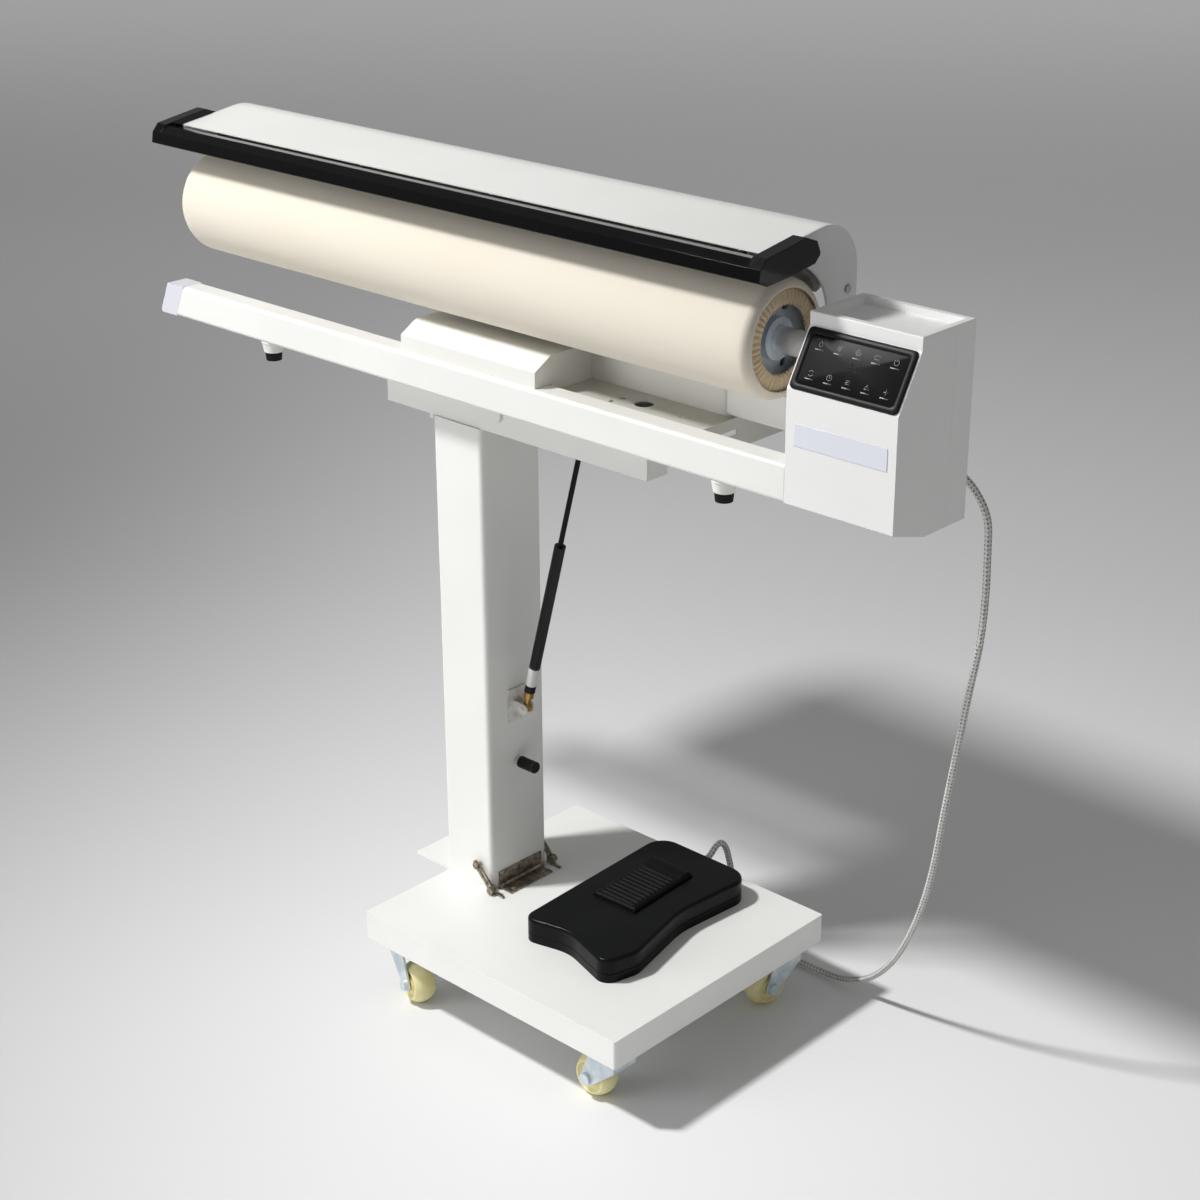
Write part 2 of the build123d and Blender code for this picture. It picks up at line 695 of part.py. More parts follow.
piston_start = 136.0
with BuildPart() as gas_spring_rod:
    rod(on_spring(piston_start), on_spring(spring_run.length), spring_rod_radius)
    rod(on_spring(piston_start), on_spring(piston_start + 8), spring_bore_radius - running_clearance)
    rod((spring_head.X, -eye_half, spring_head.Z), (spring_head.X, eye_half, spring_head.Z), spring_eye_radius)
    rod((spring_head.X, -20, spring_head.Z), (spring_head.X, 20, spring_head.Z), 3.2, mode=Mode.SUBTRACT)
save(gas_spring_rod, "gas_spring_rod")

# ==== Head hinge on the column =============================================
saddle_half = saddle_width / 2
bracket_y = 30.0
bracket_ear = 4.0
with BuildPart() as head_hinge_bracket:
    block((column_left + 4, column_right), (-bracket_y - bracket_ear, bracket_y + bracket_ear),
          (column_top, column_top + 3))
    for y_start in (-bracket_y - bracket_ear, bracket_y):
        extrude(outline(front_plane(y_start + bracket_ear),
                        (column_left + 20, column_top), (column_right + 4, column_top),
                        (head_pivot_x + 8, head_pivot_z - 9), (head_pivot_x, head_pivot_z + 12),
                        (head_pivot_x - 14, head_pivot_z + 10), (column_left + 20, column_top + 10)),
                amount=bracket_ear)
        rod((head_pivot_x, y_start, head_pivot_z), (head_pivot_x, y_start + bracket_ear, head_pivot_z), 12.0)
    block((column_right, head_pivot_x + 12), (-bracket_y, bracket_y), (column_top - 1, column_top),
          mode=Mode.SUBTRACT)

pin_reach = saddle_half + 3.0
with BuildPart() as head_hinge_pin:
    rod((head_pivot_x, -pin_reach, head_pivot_z), (head_pivot_x, pin_reach, head_pivot_z), head_pin_radius)
    for side in (-1, 1):
        start = (head_pivot_x, side * (saddle_half + 0.3), head_pivot_z)
        rod(start, (head_pivot_x, side * pin_reach, head_pivot_z), head_pin_radius + 3)
    for side in (-1, 1):
        y_span = sorted((side * bracket_y, side * (bracket_y + bracket_ear)))
        rod((head_pivot_x, y_span[0], head_pivot_z), (head_pivot_x, y_span[1], head_pivot_z),
            head_pin_radius, mode=Mode.SUBTRACT)
save_group("head_hinge_bracket", head_hinge_bracket, head_hinge_pin)

# ==== Saddle ===============================================================
spring_notch_half = 12.0
spring_notch_height = 28.0
with BuildPart() as saddle:
    block((saddle_left, saddle_right), (-saddle_half, saddle_half), (saddle_bottom, saddle_top))
    fillet(saddle.edges().filter_by(Axis.X).group_by(Axis.Z)[-1], 3.0)
    inner = saddle_half - saddle_sheet
    block((saddle_left + saddle_sheet, saddle_right - saddle_sheet), (-inner, inner),
          (saddle_bottom, saddle_top - saddle_sheet), mode=Mode.SUBTRACT)
    block((saddle_right - saddle_sheet - 1, saddle_right + 1), (-spring_notch_half, spring_notch_half),
          (saddle_bottom, saddle_bottom + spring_notch_height), mode=Mode.SUBTRACT)
    rod((head_pivot_x, -saddle_half - 1, head_pivot_z), (head_pivot_x, saddle_half + 1, head_pivot_z),
        head_pin_radius + running_clearance, mode=Mode.SUBTRACT)
    block((column_left - 7, column_left - 1), (-saddle_half, -saddle_half + saddle_sheet),
          (saddle_bottom - 5, saddle_bottom))

with BuildPart() as gas_spring_stud:
    rod((spring_head.X, eye_half + 0.3, spring_head.Z), (spring_head.X, inner, spring_head.Z), 3.0)
    rod((spring_head.X, inner - 4, spring_head.Z), (spring_head.X, inner, spring_head.Z), 7.0)
save_group("saddle", saddle, gas_spring_stud)

# ==== Frame of the head ====================================================
beam_back = beam_front + beam_depth
member_centres = (-80.0, 170.0)
with BuildPart() as cross_members:
    for x in member_centres:
        x_span = (x - cross_member_width / 2, x + cross_member_width / 2)
        block(x_span, (beam_back, tray_back), (saddle_top, tray_top - tray_sheet))
        block((x_span[0] + 2, x_span[1] - 2), (beam_back - 1, tray_back + 1),
              (saddle_top + 2, tray_top - tray_sheet), mode=Mode.SUBTRACT)

face_left_top = beam_left + beam_slant
with BuildPart() as front_beam:
    extrude(outline(front_plane(beam_back), (beam_left, beam_bottom), (box_left, beam_bottom),
                    (box_left, beam_top), (face_left_top, beam_top)), amount=beam_depth)
    fillet(front_beam.edges().filter_by(Axis.X), 4.0)
    extrude(outline(front_plane(beam_back - beam_wall), (beam_left - 1, beam_bottom + beam_wall),
                    (box_left + 1, beam_bottom + beam_wall), (box_left + 1, beam_top - beam_wall),
                    (face_left_top - 1, beam_top - beam_wall)),
            amount=beam_depth - 2 * beam_wall, mode=Mode.SUBTRACT)
save(front_beam, "front_beam")

with BuildPart() as beam_end_cap:
    cap_top = face_left_top - beam_cap_length
    extrude(outline(front_plane(beam_back), (beam_left, beam_bottom), (face_left_top, beam_top),
                    (cap_top, beam_top), (beam_left - beam_cap_length, beam_bottom)), amount=beam_depth)
    fillet(beam_end_cap.edges().filter_by(Axis.Y).group_by(Axis.X)[0], 3.0)
save(beam_end_cap, "beam_end_cap")

foot_points = (
    (-350.0, beam_front + beam_depth / 2), (330.0, beam_front + beam_depth / 2),
    (member_centres[0], 66.0), (member_centres[1], 66.0),
)
cup_height = 13.0
pad_height = 10.0
with BuildPart() as foot_cups:
    for x, y in foot_points:
        flange = beam_depth / 2 - 0.5 if y < 0 else cross_member_width / 2 - 1
        rod((x, y, beam_bottom - 2), (x, y, beam_bottom), flange)
        cone((x, y, beam_bottom - cup_height), (x, y, beam_bottom - 2), 11.0, 13.0)
save(foot_cups, "foot_cups")
with BuildPart() as foot_pads:
    for x, y in foot_points:
        bottom = beam_bottom - cup_height - pad_height
        cone((x, y, bottom), (x, y, beam_bottom - cup_height), 9.0, 10.0)
save(foot_pads, "foot_pads")

with BuildPart() as tray:
    block((cover_left, tray_right), (beam_back, tray_back), (tray_top - tray_sheet, tray_top))
    block((tray_right - tray_sheet, tray_right), (beam_back, tray_back), (beam_bottom, tray_top + 3))
    with Locations((181.5, -27, tray_top)):
        Hole(10.0, depth=tray_sheet)
    with Locations((153.5, -28, tray_top), (151.5, -42, tray_top), (234.5, -30, tray_top)):
        Hole(3.6, depth=tray_sheet)
    with Locations((130, -50, tray_top), (250, -50, tray_top)):
        Hole(2.4, depth=tray_sheet)
    block((tray_right - 3, tray_right + 1), (-28, -2), (tray_top - 15, tray_top - 9), mode=Mode.SUBTRACT)
save(tray, "tray")

rail_y = (-8.0, 22.0)
rail_bottom = tray_top + 5.0
rail_top = rail_bottom + 36.0
with BuildPart() as rear_rail:
    block((rear_housing_right, box_left), rail_y, (rail_bottom, rail_top))
    fillet(rear_rail.edges().filter_by(Axis.X), 3.0)
    block((rear_housing_right - 1, box_left + 1), (rail_y[0] + 2, rail_y[1] - 2),
          (rail_bottom + 2, rail_top - 2), mode=Mode.SUBTRACT)
save_group("head_frame", cross_members, rear_rail)

# ==== Covers ===============================================================
cover_front_y = -85.0
cover_step = beam_top
with BuildPart() as front_cover:
    cover_top = tray_top + front_cover_rise
    cover_shape = ((cover_front_y, cover_step), (cover_front_y, cover_step + 17.5),
                   (-61.0, cover_top), (0.0, cover_top), (0.0, tray_top), (beam_back, tray_top),
                   (beam_back, cover_step))
    extrude(outline(side_plane(cover_left), *cover_shape), amount=front_cover_right - cover_left)
    fillet(front_cover.edges().filter_by(Axis.X).group_by(Axis.Z)[-1].sort_by(Axis.Y)[0], 10.0)
    inside = ((cover_front_y + cover_wall, cover_step), (cover_front_y + cover_wall, cover_step + 16),
              (-60.0, cover_top - cover_wall), (-cover_wall, cover_top - cover_wall), (-cover_wall, tray_top),
              (beam_back, tray_top), (beam_back, cover_step))
    extrude(outline(side_plane(cover_left + cover_wall), *inside),
            amount=front_cover_right - cover_left - 2 * cover_wall, mode=Mode.SUBTRACT)
save(front_cover, "front_cover")

tower_front = 27.0
with BuildPart() as rear_housing:
    low_top = tray_top + rear_housing_rise
    tower_top = tray_top + rear_tower_rise
    housing_shape = ((0.0, tray_top), (0.0, low_top), (tower_front, low_top), (tower_front, tower_top),
                     (rear_housing_back, tower_top), (rear_housing_back, tray_top))
    extrude(outline(side_plane(cover_left), *housing_shape), amount=rear_housing_right - cover_left)
    fillet(rear_housing.edges().filter_by(Axis.Z).filter_by(lambda edge: edge.center().Y < 1), 12.0)
    inside = ((cover_wall, tray_top), (cover_wall, low_top - cover_wall),
              (tower_front + cover_wall, low_top - cover_wall),
              (tower_front + cover_wall, tower_top - cover_wall),
              (rear_housing_back - cover_wall, tower_top - cover_wall), (rear_housing_back - cover_wall, tray_top))
    extrude(outline(side_plane(cover_left + 10), *inside),
            amount=rear_housing_right - cover_left - 20, mode=Mode.SUBTRACT)
save(rear_housing, "rear_housing")

# ==== Hood, shoe and handle ================================================
open_turn = math.radians(-hood_open_angle)


def opened(y, z):
    """Point of the closed hood, swung up about the hood pivot to its open place."""
    dy = y - hood_pivot_y
    dz = z - hood_pivot_z
    new_y = hood_pivot_y + dy * math.cos(open_turn) - dz * math.sin(open_turn)
    new_z = hood_pivot_z + dy * math.sin(open_turn) + dz * math.cos(open_turn)
    return (new_y, new_z)


shoe_centre = opened(roller_axis_y, roller_axis_z)
shoe_inner = roller_radius + shoe_clearance
shoe_outer = shoe_inner + shoe_thickness
hood_front_y = -75.0
hood_back_y = 60.0
hood_front_z = hood_pivot_z + 57.0
hood_corner_z = hood_pivot_z + 76.0
hood_foot_z = hood_pivot_z - 6.0
hood_rounding = 50.0
hood_fall = (hood_corner_z - hood_front_z) / (hood_back_y - hood_front_y)


def shoe_point(radius, degrees):
    """Point at an angle behind the vertical, about the shoe's centre."""
    turn = math.radians(degrees)
    return (shoe_centre[0] + radius * math.sin(turn), shoe_centre[1] + radius * math.cos(turn))


hood_x = (hood_left, hood_right)
shell_span = hood_right - hood_left - 2 * hood_panel_sheet
with BuildPart() as hood_shell:
    strip = path_ribbon(side_plane(hood_left + hood_panel_sheet), hood_sheet, hood_rounding,
                        (hood_front_y, hood_front_z), (hood_back_y, hood_corner_z), (hood_back_y, hood_foot_z))
    extrude(strip, amount=shell_span)
save(hood_shell, "hood_shell")

with BuildPart() as hood_end_panels:
    for x in (hood_left, hood_right - hood_panel_sheet):
        with BuildSketch(side_plane(x)) as panel:
            with BuildLine():
                top_line = FilletPolyline((hood_front_y, hood_front_z), (hood_back_y, hood_corner_z),
                                          (hood_back_y, hood_foot_z), radius=hood_rounding)
                Polyline(top_line @ 1, (hood_back_y, hood_foot_z - 8), (hood_front_y, hood_foot_z - 8),
                         top_line @ 0)
            make_face()
            with Locations(shoe_centre):
                Circle(shoe_inner + 0.3, mode=Mode.SUBTRACT)
        extrude(panel.sketch, amount=hood_panel_sheet)
    rod((hood_left - 1, hood_pivot_y, hood_pivot_z), (hood_right + 1, hood_pivot_y, hood_pivot_z),
        hood_rod_radius, mode=Mode.SUBTRACT)

with BuildPart() as hood_pivot_rod:
    rod((hood_left, hood_pivot_y, hood_pivot_z), (hood_right, hood_pivot_y, hood_pivot_z), hood_rod_radius)
    rod((hood_right, hood_pivot_y, hood_pivot_z), (hood_right + 1.5, hood_pivot_y, hood_pivot_z), 4.0)
save(hood_pivot_rod, "hood_pivot_rod")

arm_sheet = 6.0
arm_places = (cover_left + 25.0, rear_housing_right - 30.0)
with BuildPart() as hood_pivot_arms:
    for x in arm_places:
        tower_top = tray_top + rear_tower_rise
        extrude(outline(side_plane(x), (hood_pivot_y - 14, tower_top), (hood_pivot_y + 14, tower_top),
                        (hood_pivot_y + 9, hood_pivot_z), (hood_pivot_y - 9, hood_pivot_z)), amount=arm_sheet)
        rod((x, hood_pivot_y, hood_pivot_z), (x + arm_sheet, hood_pivot_y, hood_pivot_z), 9.0)
    rod((hood_left, hood_pivot_y, hood_pivot_z), (hood_right, hood_pivot_y, hood_pivot_z),
        hood_rod_radius + running_clearance, mode=Mode.SUBTRACT)
save(hood_pivot_arms, "hood_pivot_arms")

shoe_from = -28.0
shoe_to = 68.0
shoe_middle = (shoe_from + shoe_to) / 2
shoe_x = (roller_left + 7.0, roller_right - 7.0)
with BuildPart() as shoe:
    with BuildSketch(side_plane(shoe_x[0])):
        with BuildLine():
            ThreePointArc(shoe_point(shoe_inner, shoe_from), shoe_point(shoe_inner, shoe_middle),
                          shoe_point(shoe_inner, shoe_to))
            Line(shoe_point(shoe_inner, shoe_to), shoe_point(shoe_outer, shoe_to))
            ThreePointArc(shoe_point(shoe_outer, shoe_to), shoe_point(shoe_outer, shoe_middle),
                          shoe_point(shoe_outer, shoe_from))
            Line(shoe_point(shoe_outer, shoe_from), shoe_point(shoe_inner, shoe_from))
        make_face()
    extrude(amount=shoe_x[1] - shoe_x[0])
save(shoe, "shoe")

element_radius = 3.2
element_track = shoe_outer + element_radius + 2.2
element_ends = (shoe_x[0] + 30, shoe_x[1] - 30)
element_lines = [shoe_point(element_track, angle) for angle in (-12.0, 14.0)]
with BuildPart() as heating_element:
    with BuildLine() as element_path:
        FilletPolyline((element_ends[1], *element_lines[0]), (element_ends[0], *element_lines[0]),
                       (element_ends[0], *element_lines[1]), (element_ends[1], *element_lines[1]), radius=9.0)
    with BuildSketch(Plane(origin=element_path.line @ 0, z_dir=element_path.line % 0)):
        Circle(element_radius)
    sweep(path=element_path.line)
save(heating_element, "heating_element")

hanger_sheet = 3.0
hanger_places = (-400.0, -200.0, 0.0, 200.0, 330.0)
with BuildPart() as shoe_hangers:
    for x in hanger_places:
        top_y = (-62.0, -4.0)
        under = [hood_corner_z - (hood_back_y - y) * hood_fall - hood_sheet * 1.01 for y in top_y]
        with BuildSketch(side_plane(x)) as hanger:
            with BuildLine():
                Polyline((top_y[0], under[0]), (top_y[1], under[1]),
                         (top_y[1], shoe_centre[1]), (top_y[0], shoe_centre[1]), close=True)
            make_face()
            with Locations(shoe_centre):
                Circle(shoe_outer, mode=Mode.SUBTRACT)
            with Locations(*element_lines):
                Circle(element_radius + 0.4, mode=Mode.SUBTRACT)
        extrude(hanger.sketch, amount=hanger_sheet)
save_group("hood_ribs", hood_end_panels, shoe_hangers)

handle_low = hood_pivot_z + 34.0
with BuildPart() as handle:
    rail_shape = ((-108.0, handle_low + 5), (-106.0, handle_low + 17), (-98.0, handle_low + 24),
                  (-84.0, handle_low + 22), (-82.0, handle_low + 14), (-85.0, handle_low + 3),
                  (-96.0, handle_low))
    extrude(outline(side_plane(hood_left - handle_bar), *rail_shape),
            amount=hood_right - hood_left + 2 * handle_bar)
    arm_shape = ((-108.0, handle_low + 5), (-106.0, handle_low + 17), (-98.0, handle_low + 26),
                 (-40.0, handle_low + 35), (-24.0, handle_low + 29), (-18.0, handle_low + 16),
                 (-26.0, handle_low + 8), (-60.0, handle_low + 3), (-96.0, handle_low))
    for x in (hood_left - handle_bar, hood_right):
        extrude(outline(side_plane(x), *arm_shape), amount=handle_bar)
    fillet(handle.edges().filter_by(Axis.X).group_by(Axis.Y)[-1], 4.0)
save(handle, "handle")

# ==== Roller ===============================================================
core_left = roller_left + 14.0
core_right = roller_right - 14.0
hub_sheet = 4.0


def roller_point(x, radius=0.0):
    """Point at x, a radius above the roller's axis."""
    return (x, roller_axis_y, roller_axis_z + radius)


def roller_solid(x_start, x_end, radius, mode=Mode.ADD):
    """Round bar on the roller's axis."""
    rod(roller_point(x_start), roller_point(x_end), radius, mode=mode)


hem_rounding = 6.0
with BuildPart() as roller_room:
    roller_solid(roller_left + roller_cloth, roller_right - roller_cloth, roller_radius - roller_cloth)
    fillet(roller_room.edges().group_by(Axis.X)[0], roller_end_rounding - roller_cloth)
    fillet(roller_room.edges().group_by(Axis.X)[-1], hem_rounding - roller_cloth)

with BuildPart() as roller_cover:
    roller_solid(roller_left, roller_right, roller_radius)
    fillet(roller_cover.edges().group_by(Axis.X)[0], roller_end_rounding)
    fillet(roller_cover.edges().group_by(Axis.X)[-1], hem_rounding)
    add(roller_room.part, mode=Mode.SUBTRACT)
    roller_solid(roller_right - 10, roller_right + 1, roller_opening_radius, mode=Mode.SUBTRACT)
save(roller_cover, "roller_cover")

with BuildPart() as roller_padding:
    add(roller_room.part)
    roller_solid(core_left, roller_right, roller_core_radius, mode=Mode.SUBTRACT)
save(roller_padding, "roller_padding")

with BuildPart() as roller_tube:
    roller_solid(core_left, core_right, roller_core_radius)
    roller_solid(core_left - 1, core_right + 1, roller_core_radius - roller_core_wall, mode=Mode.SUBTRACT)

with BuildPart() as roller_hubs:
    for x in (core_left + 2, core_right - 2 - hub_sheet):
        roller_solid(x, x + hub_sheet, roller_core_radius - roller_core_wall)
    roller_solid(core_right - 2, core_right + 6, roller_shaft_radius + 8)
    roller_solid(core_left - 1, core_right + 10, roller_shaft_radius, mode=Mode.SUBTRACT)
    with Locations(Location(roller_point(core_right - 2), (0, 90, 0))):
        with PolarLocations(33, 3, start_angle=30):
            Cylinder(5.0, 3 * hub_sheet, mode=Mode.SUBTRACT)
save_group("roller_core", roller_tube, roller_hubs)

gear_left = box_left + box_wall + 12.8
gear_right = gear_left + gear_width
with BuildPart() as roller_shaft:
    roller_solid(core_left + 2, gear_right + 0.5, roller_shaft_radius)
save(roller_shaft, "roller_shaft")

# ==== Control box ==========================================================
slope_foot_z = box_top - 67.0
slope_head_z = box_top - 13.0
box_shape = (
    (box_front, box_bottom + 14.5), (-40.7, box_bottom), (box_back, box_bottom), (box_back, box_top),
    (box_slope_top_y, box_top), (box_slope_top_y, slope_head_z), (box_front, slope_foot_z),
)
recess_depth = 8.0
recess_border = 7.0
recess_floor = box_top - recess_depth
slope_direction = Vector(0, box_slope_top_y - box_front, slope_head_z - slope_foot_z).normalized()
slope_normal = Vector(0, -slope_direction.Z, slope_direction.Y)
slope_length = math.hypot(box_slope_top_y - box_front, slope_head_z - slope_foot_z)
slope_middle = Vector((box_left + box_right) / 2, (box_front + box_slope_top_y) / 2,
                      (slope_foot_z + slope_head_z) / 2)
panel_plane = Plane(origin=slope_middle, x_dir=(1, 0, 0), z_dir=slope_normal)
panel_width = box_width - 4.0
panel_height = slope_length - 2.0
panel_rounding = 5.0
panel_seat = 1.5
panel_thickness = 2.5


def inset(distance):
    """Box's side outline, drawn in by the wall and kept under the top recess."""
    with BuildSketch(side_plane(box_left + distance)) as face:
        with BuildLine():
            Polyline(*box_shape, close=True)
        make_face()
        offset(amount=-distance, kind=Kind.INTERSECTION, mode=Mode.REPLACE)
        with Locations((0, recess_floor - distance + 50)):
            Rectangle(400, 100, mode=Mode.SUBTRACT)
    return face.sketch


with BuildPart() as whole_box:
    extrude(outline(side_plane(box_left), *box_shape), amount=box_width)
    fillet(whole_box.edges().filter_by(Axis.X), 1.2)
    extrude(inset(box_wall), amount=box_width - 2 * box_wall, mode=Mode.SUBTRACT)
    block((box_left + recess_border, box_right - recess_border),
          (box_slope_top_y + recess_border, box_back - recess_border),
          (recess_floor, box_top + 1), mode=Mode.SUBTRACT)
    with BuildSketch(panel_plane):
        RectangleRounded(panel_width, panel_height, panel_rounding)
    extrude(amount=-panel_seat, mode=Mode.SUBTRACT)
    roller_solid(box_left - 1, box_left + box_wall + 1, roller_shaft_radius + 1, mode=Mode.SUBTRACT)
    gland_x = box_left + 82.8
    gland_z = box_bottom + 29.5
    rod((gland_x, box_back - 5, gland_z), (gland_x, box_back + 1, gland_z), 5.0, mode=Mode.SUBTRACT)

far = 500.0
with BuildPart() as control_box:
    add(whole_box.part)
    block((box_left - 1, box_right + 1), (box_seam_y, far), (0, 2 * far), mode=Mode.SUBTRACT)
save(control_box, "control_box")

with BuildPart() as control_box_rear_cover:
    add(whole_box.part)
    block((box_left - 1, box_right + 1), (-far, box_seam_y), (0, 2 * far), mode=Mode.SUBTRACT)
save(control_box_rear_cover, "control_box_rear_cover")

with BuildPart() as control_panel:
    with BuildSketch(panel_plane.offset(-panel_seat)):
        RectangleRounded(panel_width, panel_height, panel_rounding)
    extrude(amount=panel_thickness)
    fillet(control_panel.faces().sort_by(Axis(slope_middle, slope_normal))[-1].edges(), 0.6)
save(control_panel, "control_panel")

board_y = box_front + box_wall + 6.0
with BuildPart() as circuit_board:
    board_z = (box_bottom + 28.0, box_bottom + 105.0)
    block((box_left + 12, box_right - 12), (board_y, board_y + 1.6), board_z)
    for x in (box_left + 18, box_right - 18):
        for z in (board_z[0] + 6, board_z[1] - 6):
            rod((x, box_front + box_wall, z), (x, board_y, z), 3.0)
    block((box_left + 40, box_left + 60), (board_y + 1.6, board_y + 9), (board_z[0] + 30, board_z[0] + 50))
    block((box_left + 72, box_left + 94), (board_y + 1.6, board_y + 6), (board_z[0] + 16, board_z[0] + 30))
save(circuit_board, "circuit_board")

# ==== Drive ================================================================
gear_pitch_radius = gear_module * gear_teeth / 2
pinion_pitch_radius = gear_module * pinion_teeth / 2
gear_spacing = gear_pitch_radius + pinion_pitch_radius
motor_z = roller_axis_z - gear_spacing
plate_left = gear_right + 3.0
plate_right = plate_left + 3.0


def tooth_ring(plane, teeth, first_angle, backlash=0.12):
    """Gear outline with straight-flanked teeth, as a face."""
    pitch_radius = gear_module * teeth / 2
    tip_radius = pitch_radius + 0.9 * gear_module
    root_radius = pitch_radius - 1.15 * gear_module
    quarter = 90.0 / teeth
    slack = math.degrees(backlash / pitch_radius)
    points = []
    for tooth in range(teeth):
        middle = first_angle + 360.0 * tooth / teeth
        for radius, share in ((root_radius, -1.5), (tip_radius, -0.5), (tip_radius, 0.5), (root_radius, 1.5)):
            turn = math.radians(middle + share * quarter - math.copysign(slack, share))
            points.append((radius * math.cos(turn), radius * math.sin(turn)))
    return outline(plane, *points)


with BuildPart() as drive_gear:
    extrude(tooth_ring(Plane(origin=roller_point(gear_left), x_dir=(0, 1, 0), z_dir=(1, 0, 0)),
                       gear_teeth, -90.0), amount=gear_width)
    roller_solid(gear_left - 1, gear_right + 1, roller_shaft_radius, mode=Mode.SUBTRACT)
save(drive_gear, "drive_gear")

motor_centre = (gear_left, roller_axis_y, motor_z)
with BuildPart() as motor_pinion:
    extrude(tooth_ring(Plane(origin=motor_centre, x_dir=(0, 1, 0), z_dir=(1, 0, 0)),
                       pinion_teeth, 90.0 + 180.0 / pinion_teeth), amount=gear_width)
    rod((gear_right, roller_axis_y, motor_z), (plate_right + 6, roller_axis_y, motor_z), 4.0)
save(motor_pinion, "motor_pinion")

with BuildPart() as bearing_block:
    roller_solid(box_left + box_wall, gear_left - 0.8, roller_shaft_radius + 11)
    roller_solid(box_left, gear_left, roller_shaft_radius + running_clearance, mode=Mode.SUBTRACT)

floor_inside = box_bottom + box_wall
with BuildPart() as drive_bracket:
    block((plate_left, plate_right), (-38 + roller_axis_y + 12, roller_axis_y + 28), (floor_inside + 16, motor_z + 24))
    block((plate_left, plate_right), (-36.0, box_seam_y - 1), (floor_inside, floor_inside + 16))
    block((plate_right, plate_right + 24), (-36.0, box_seam_y - 1), (floor_inside, floor_inside + 2.5))
    rod((plate_left - 1, roller_axis_y, motor_z), (plate_right + 1, roller_axis_y, motor_z), 6.0,
        mode=Mode.SUBTRACT)
save_group("drive_bracket", drive_bracket, bearing_block)

with BuildPart() as drive_motor:
    rod((plate_right, roller_axis_y, motor_z), (plate_right + motor_length, roller_axis_y, motor_z), motor_radius)
    fillet(drive_motor.edges().group_by(Axis.X)[-1], 3.0)
    rod((plate_right - 1, roller_axis_y, motor_z), (plate_right + 8, roller_axis_y, motor_z),
        4.0 + running_clearance, mode=Mode.SUBTRACT)
save(drive_motor, "drive_motor")

# ==== Cable ================================================================
gland_end_y = box_back + 16.0
with BuildPart() as cable_gland:
    rod((gland_x, box_back - box_wall, gland_z), (gland_x, box_back, gland_z), 5.0)
    rod((gland_x, box_back, gland_z), (gland_x, box_back + 5, gland_z), 9.0)
    cone((gland_x, box_back + 5, gland_z), (gland_x, gland_end_y, gland_z), 7.0, 5.0)
save(cable_gland, "cable_gland")
cable_join = (521.0, 98.0, 655.0)
cable_fall = Vector(-0.02, 0.08, -1.0)
cable_route_upper = (
    (gland_x, gland_end_y, gland_z), (gland_x, gland_end_y + 15, gland_z),
    (gland_x + 4, gland_end_y + 32, gland_z - 7), (gland_x + 13, gland_end_y + 47, gland_z - 26),
    tuple(Vector(*cable_join) - cable_fall * 32), cable_join,
)
cable_route_lower = (
    cable_join, tuple(Vector(*cable_join) + cable_fall * 52), (514, 107, 546), (500, 114, 488),
    (488, 120, 428), (475, 127, 368), (463, 134, 309), (451, 142, 251), (434, 152, 196), (413, 163, 145),
    (387, 177, 98), (358, 190, 58), (326, 200, 28), (290, 206, 10), (252, 207, 6.5), (214, 207, 6.5),
)
connector_radius = 6.0
connector_length = 30.0
connector_right = cable_route_lower[-1]
connector_left = (connector_right[0] - connector_length, connector_right[1], connector_right[2])
pedal_back = pedal_points[-1][1]
pedal_entry_z = pedal_seam + 10.0
cable_route_pedal = (
    connector_left, (164, 207, 6.5), (147, 207, 15), (133, 205, 38), (124, 203, 72), (118, 201, 104),
    (116, 196, 126), (116.5, 186, 138), (117, 175, 137), (118, 166, 130.5),
    (118, pedal_back + 9, pedal_entry_z), (118, pedal_back, pedal_entry_z),
)


def corner_radii(points):
    """Largest tangent arcs that the two runs at each corner allow."""
    radii = []
    for before, corner, after in zip(points, points[1:], points[2:]):
        run_in = Vector(*corner) - Vector(*before)
        run_out = Vector(*after) - Vector(*corner)
        half_turn = math.radians(run_in.get_angle(run_out) / 2)
        radii.append(0.45 * min(run_in.length, run_out.length) / math.tan(half_turn))
    return radii


def make_cable(points):
    """Round cable along straight runs joined by tangent arcs."""
    radii = corner_radii(points)
    with BuildPart() as cable:
        with BuildLine() as route:
            FilletPolyline(*points, radius=radii)
        with BuildSketch(Plane(origin=route.line @ 0, z_dir=route.line % 0)):
            Circle(cable_radius)
        sweep(path=route.line)
    length = route.wire().length
    ratio = cable.part.volume / (math.pi * cable_radius**2 * length)
    print("cable", round(length, 1), "volume ratio", round(ratio, 4), "radii", [round(r, 1) for r in radii])
    return cable


with BuildPart() as cable_connector:
    rod(connector_right, connector_left, connector_radius)
    chamfer(cable_connector.edges().filter_by(GeomType.CIRCLE), 1.5)
save(cable_connector, "cable_connector")

save(make_cable(cable_route_upper), "box_cable_upper")
save(make_cable(cable_route_lower), "box_cable_lower")
save(make_cable(cable_route_pedal), "pedal_cable")
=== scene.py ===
"""Studio scene of a rotary flatwork ironer: its finishes, cloth, cables, panel and lights."""

import functools
import logging
import math
from dataclasses import dataclass
from enum import Enum

import bmesh
import bpy
import numpy as np
from mathutils import Matrix


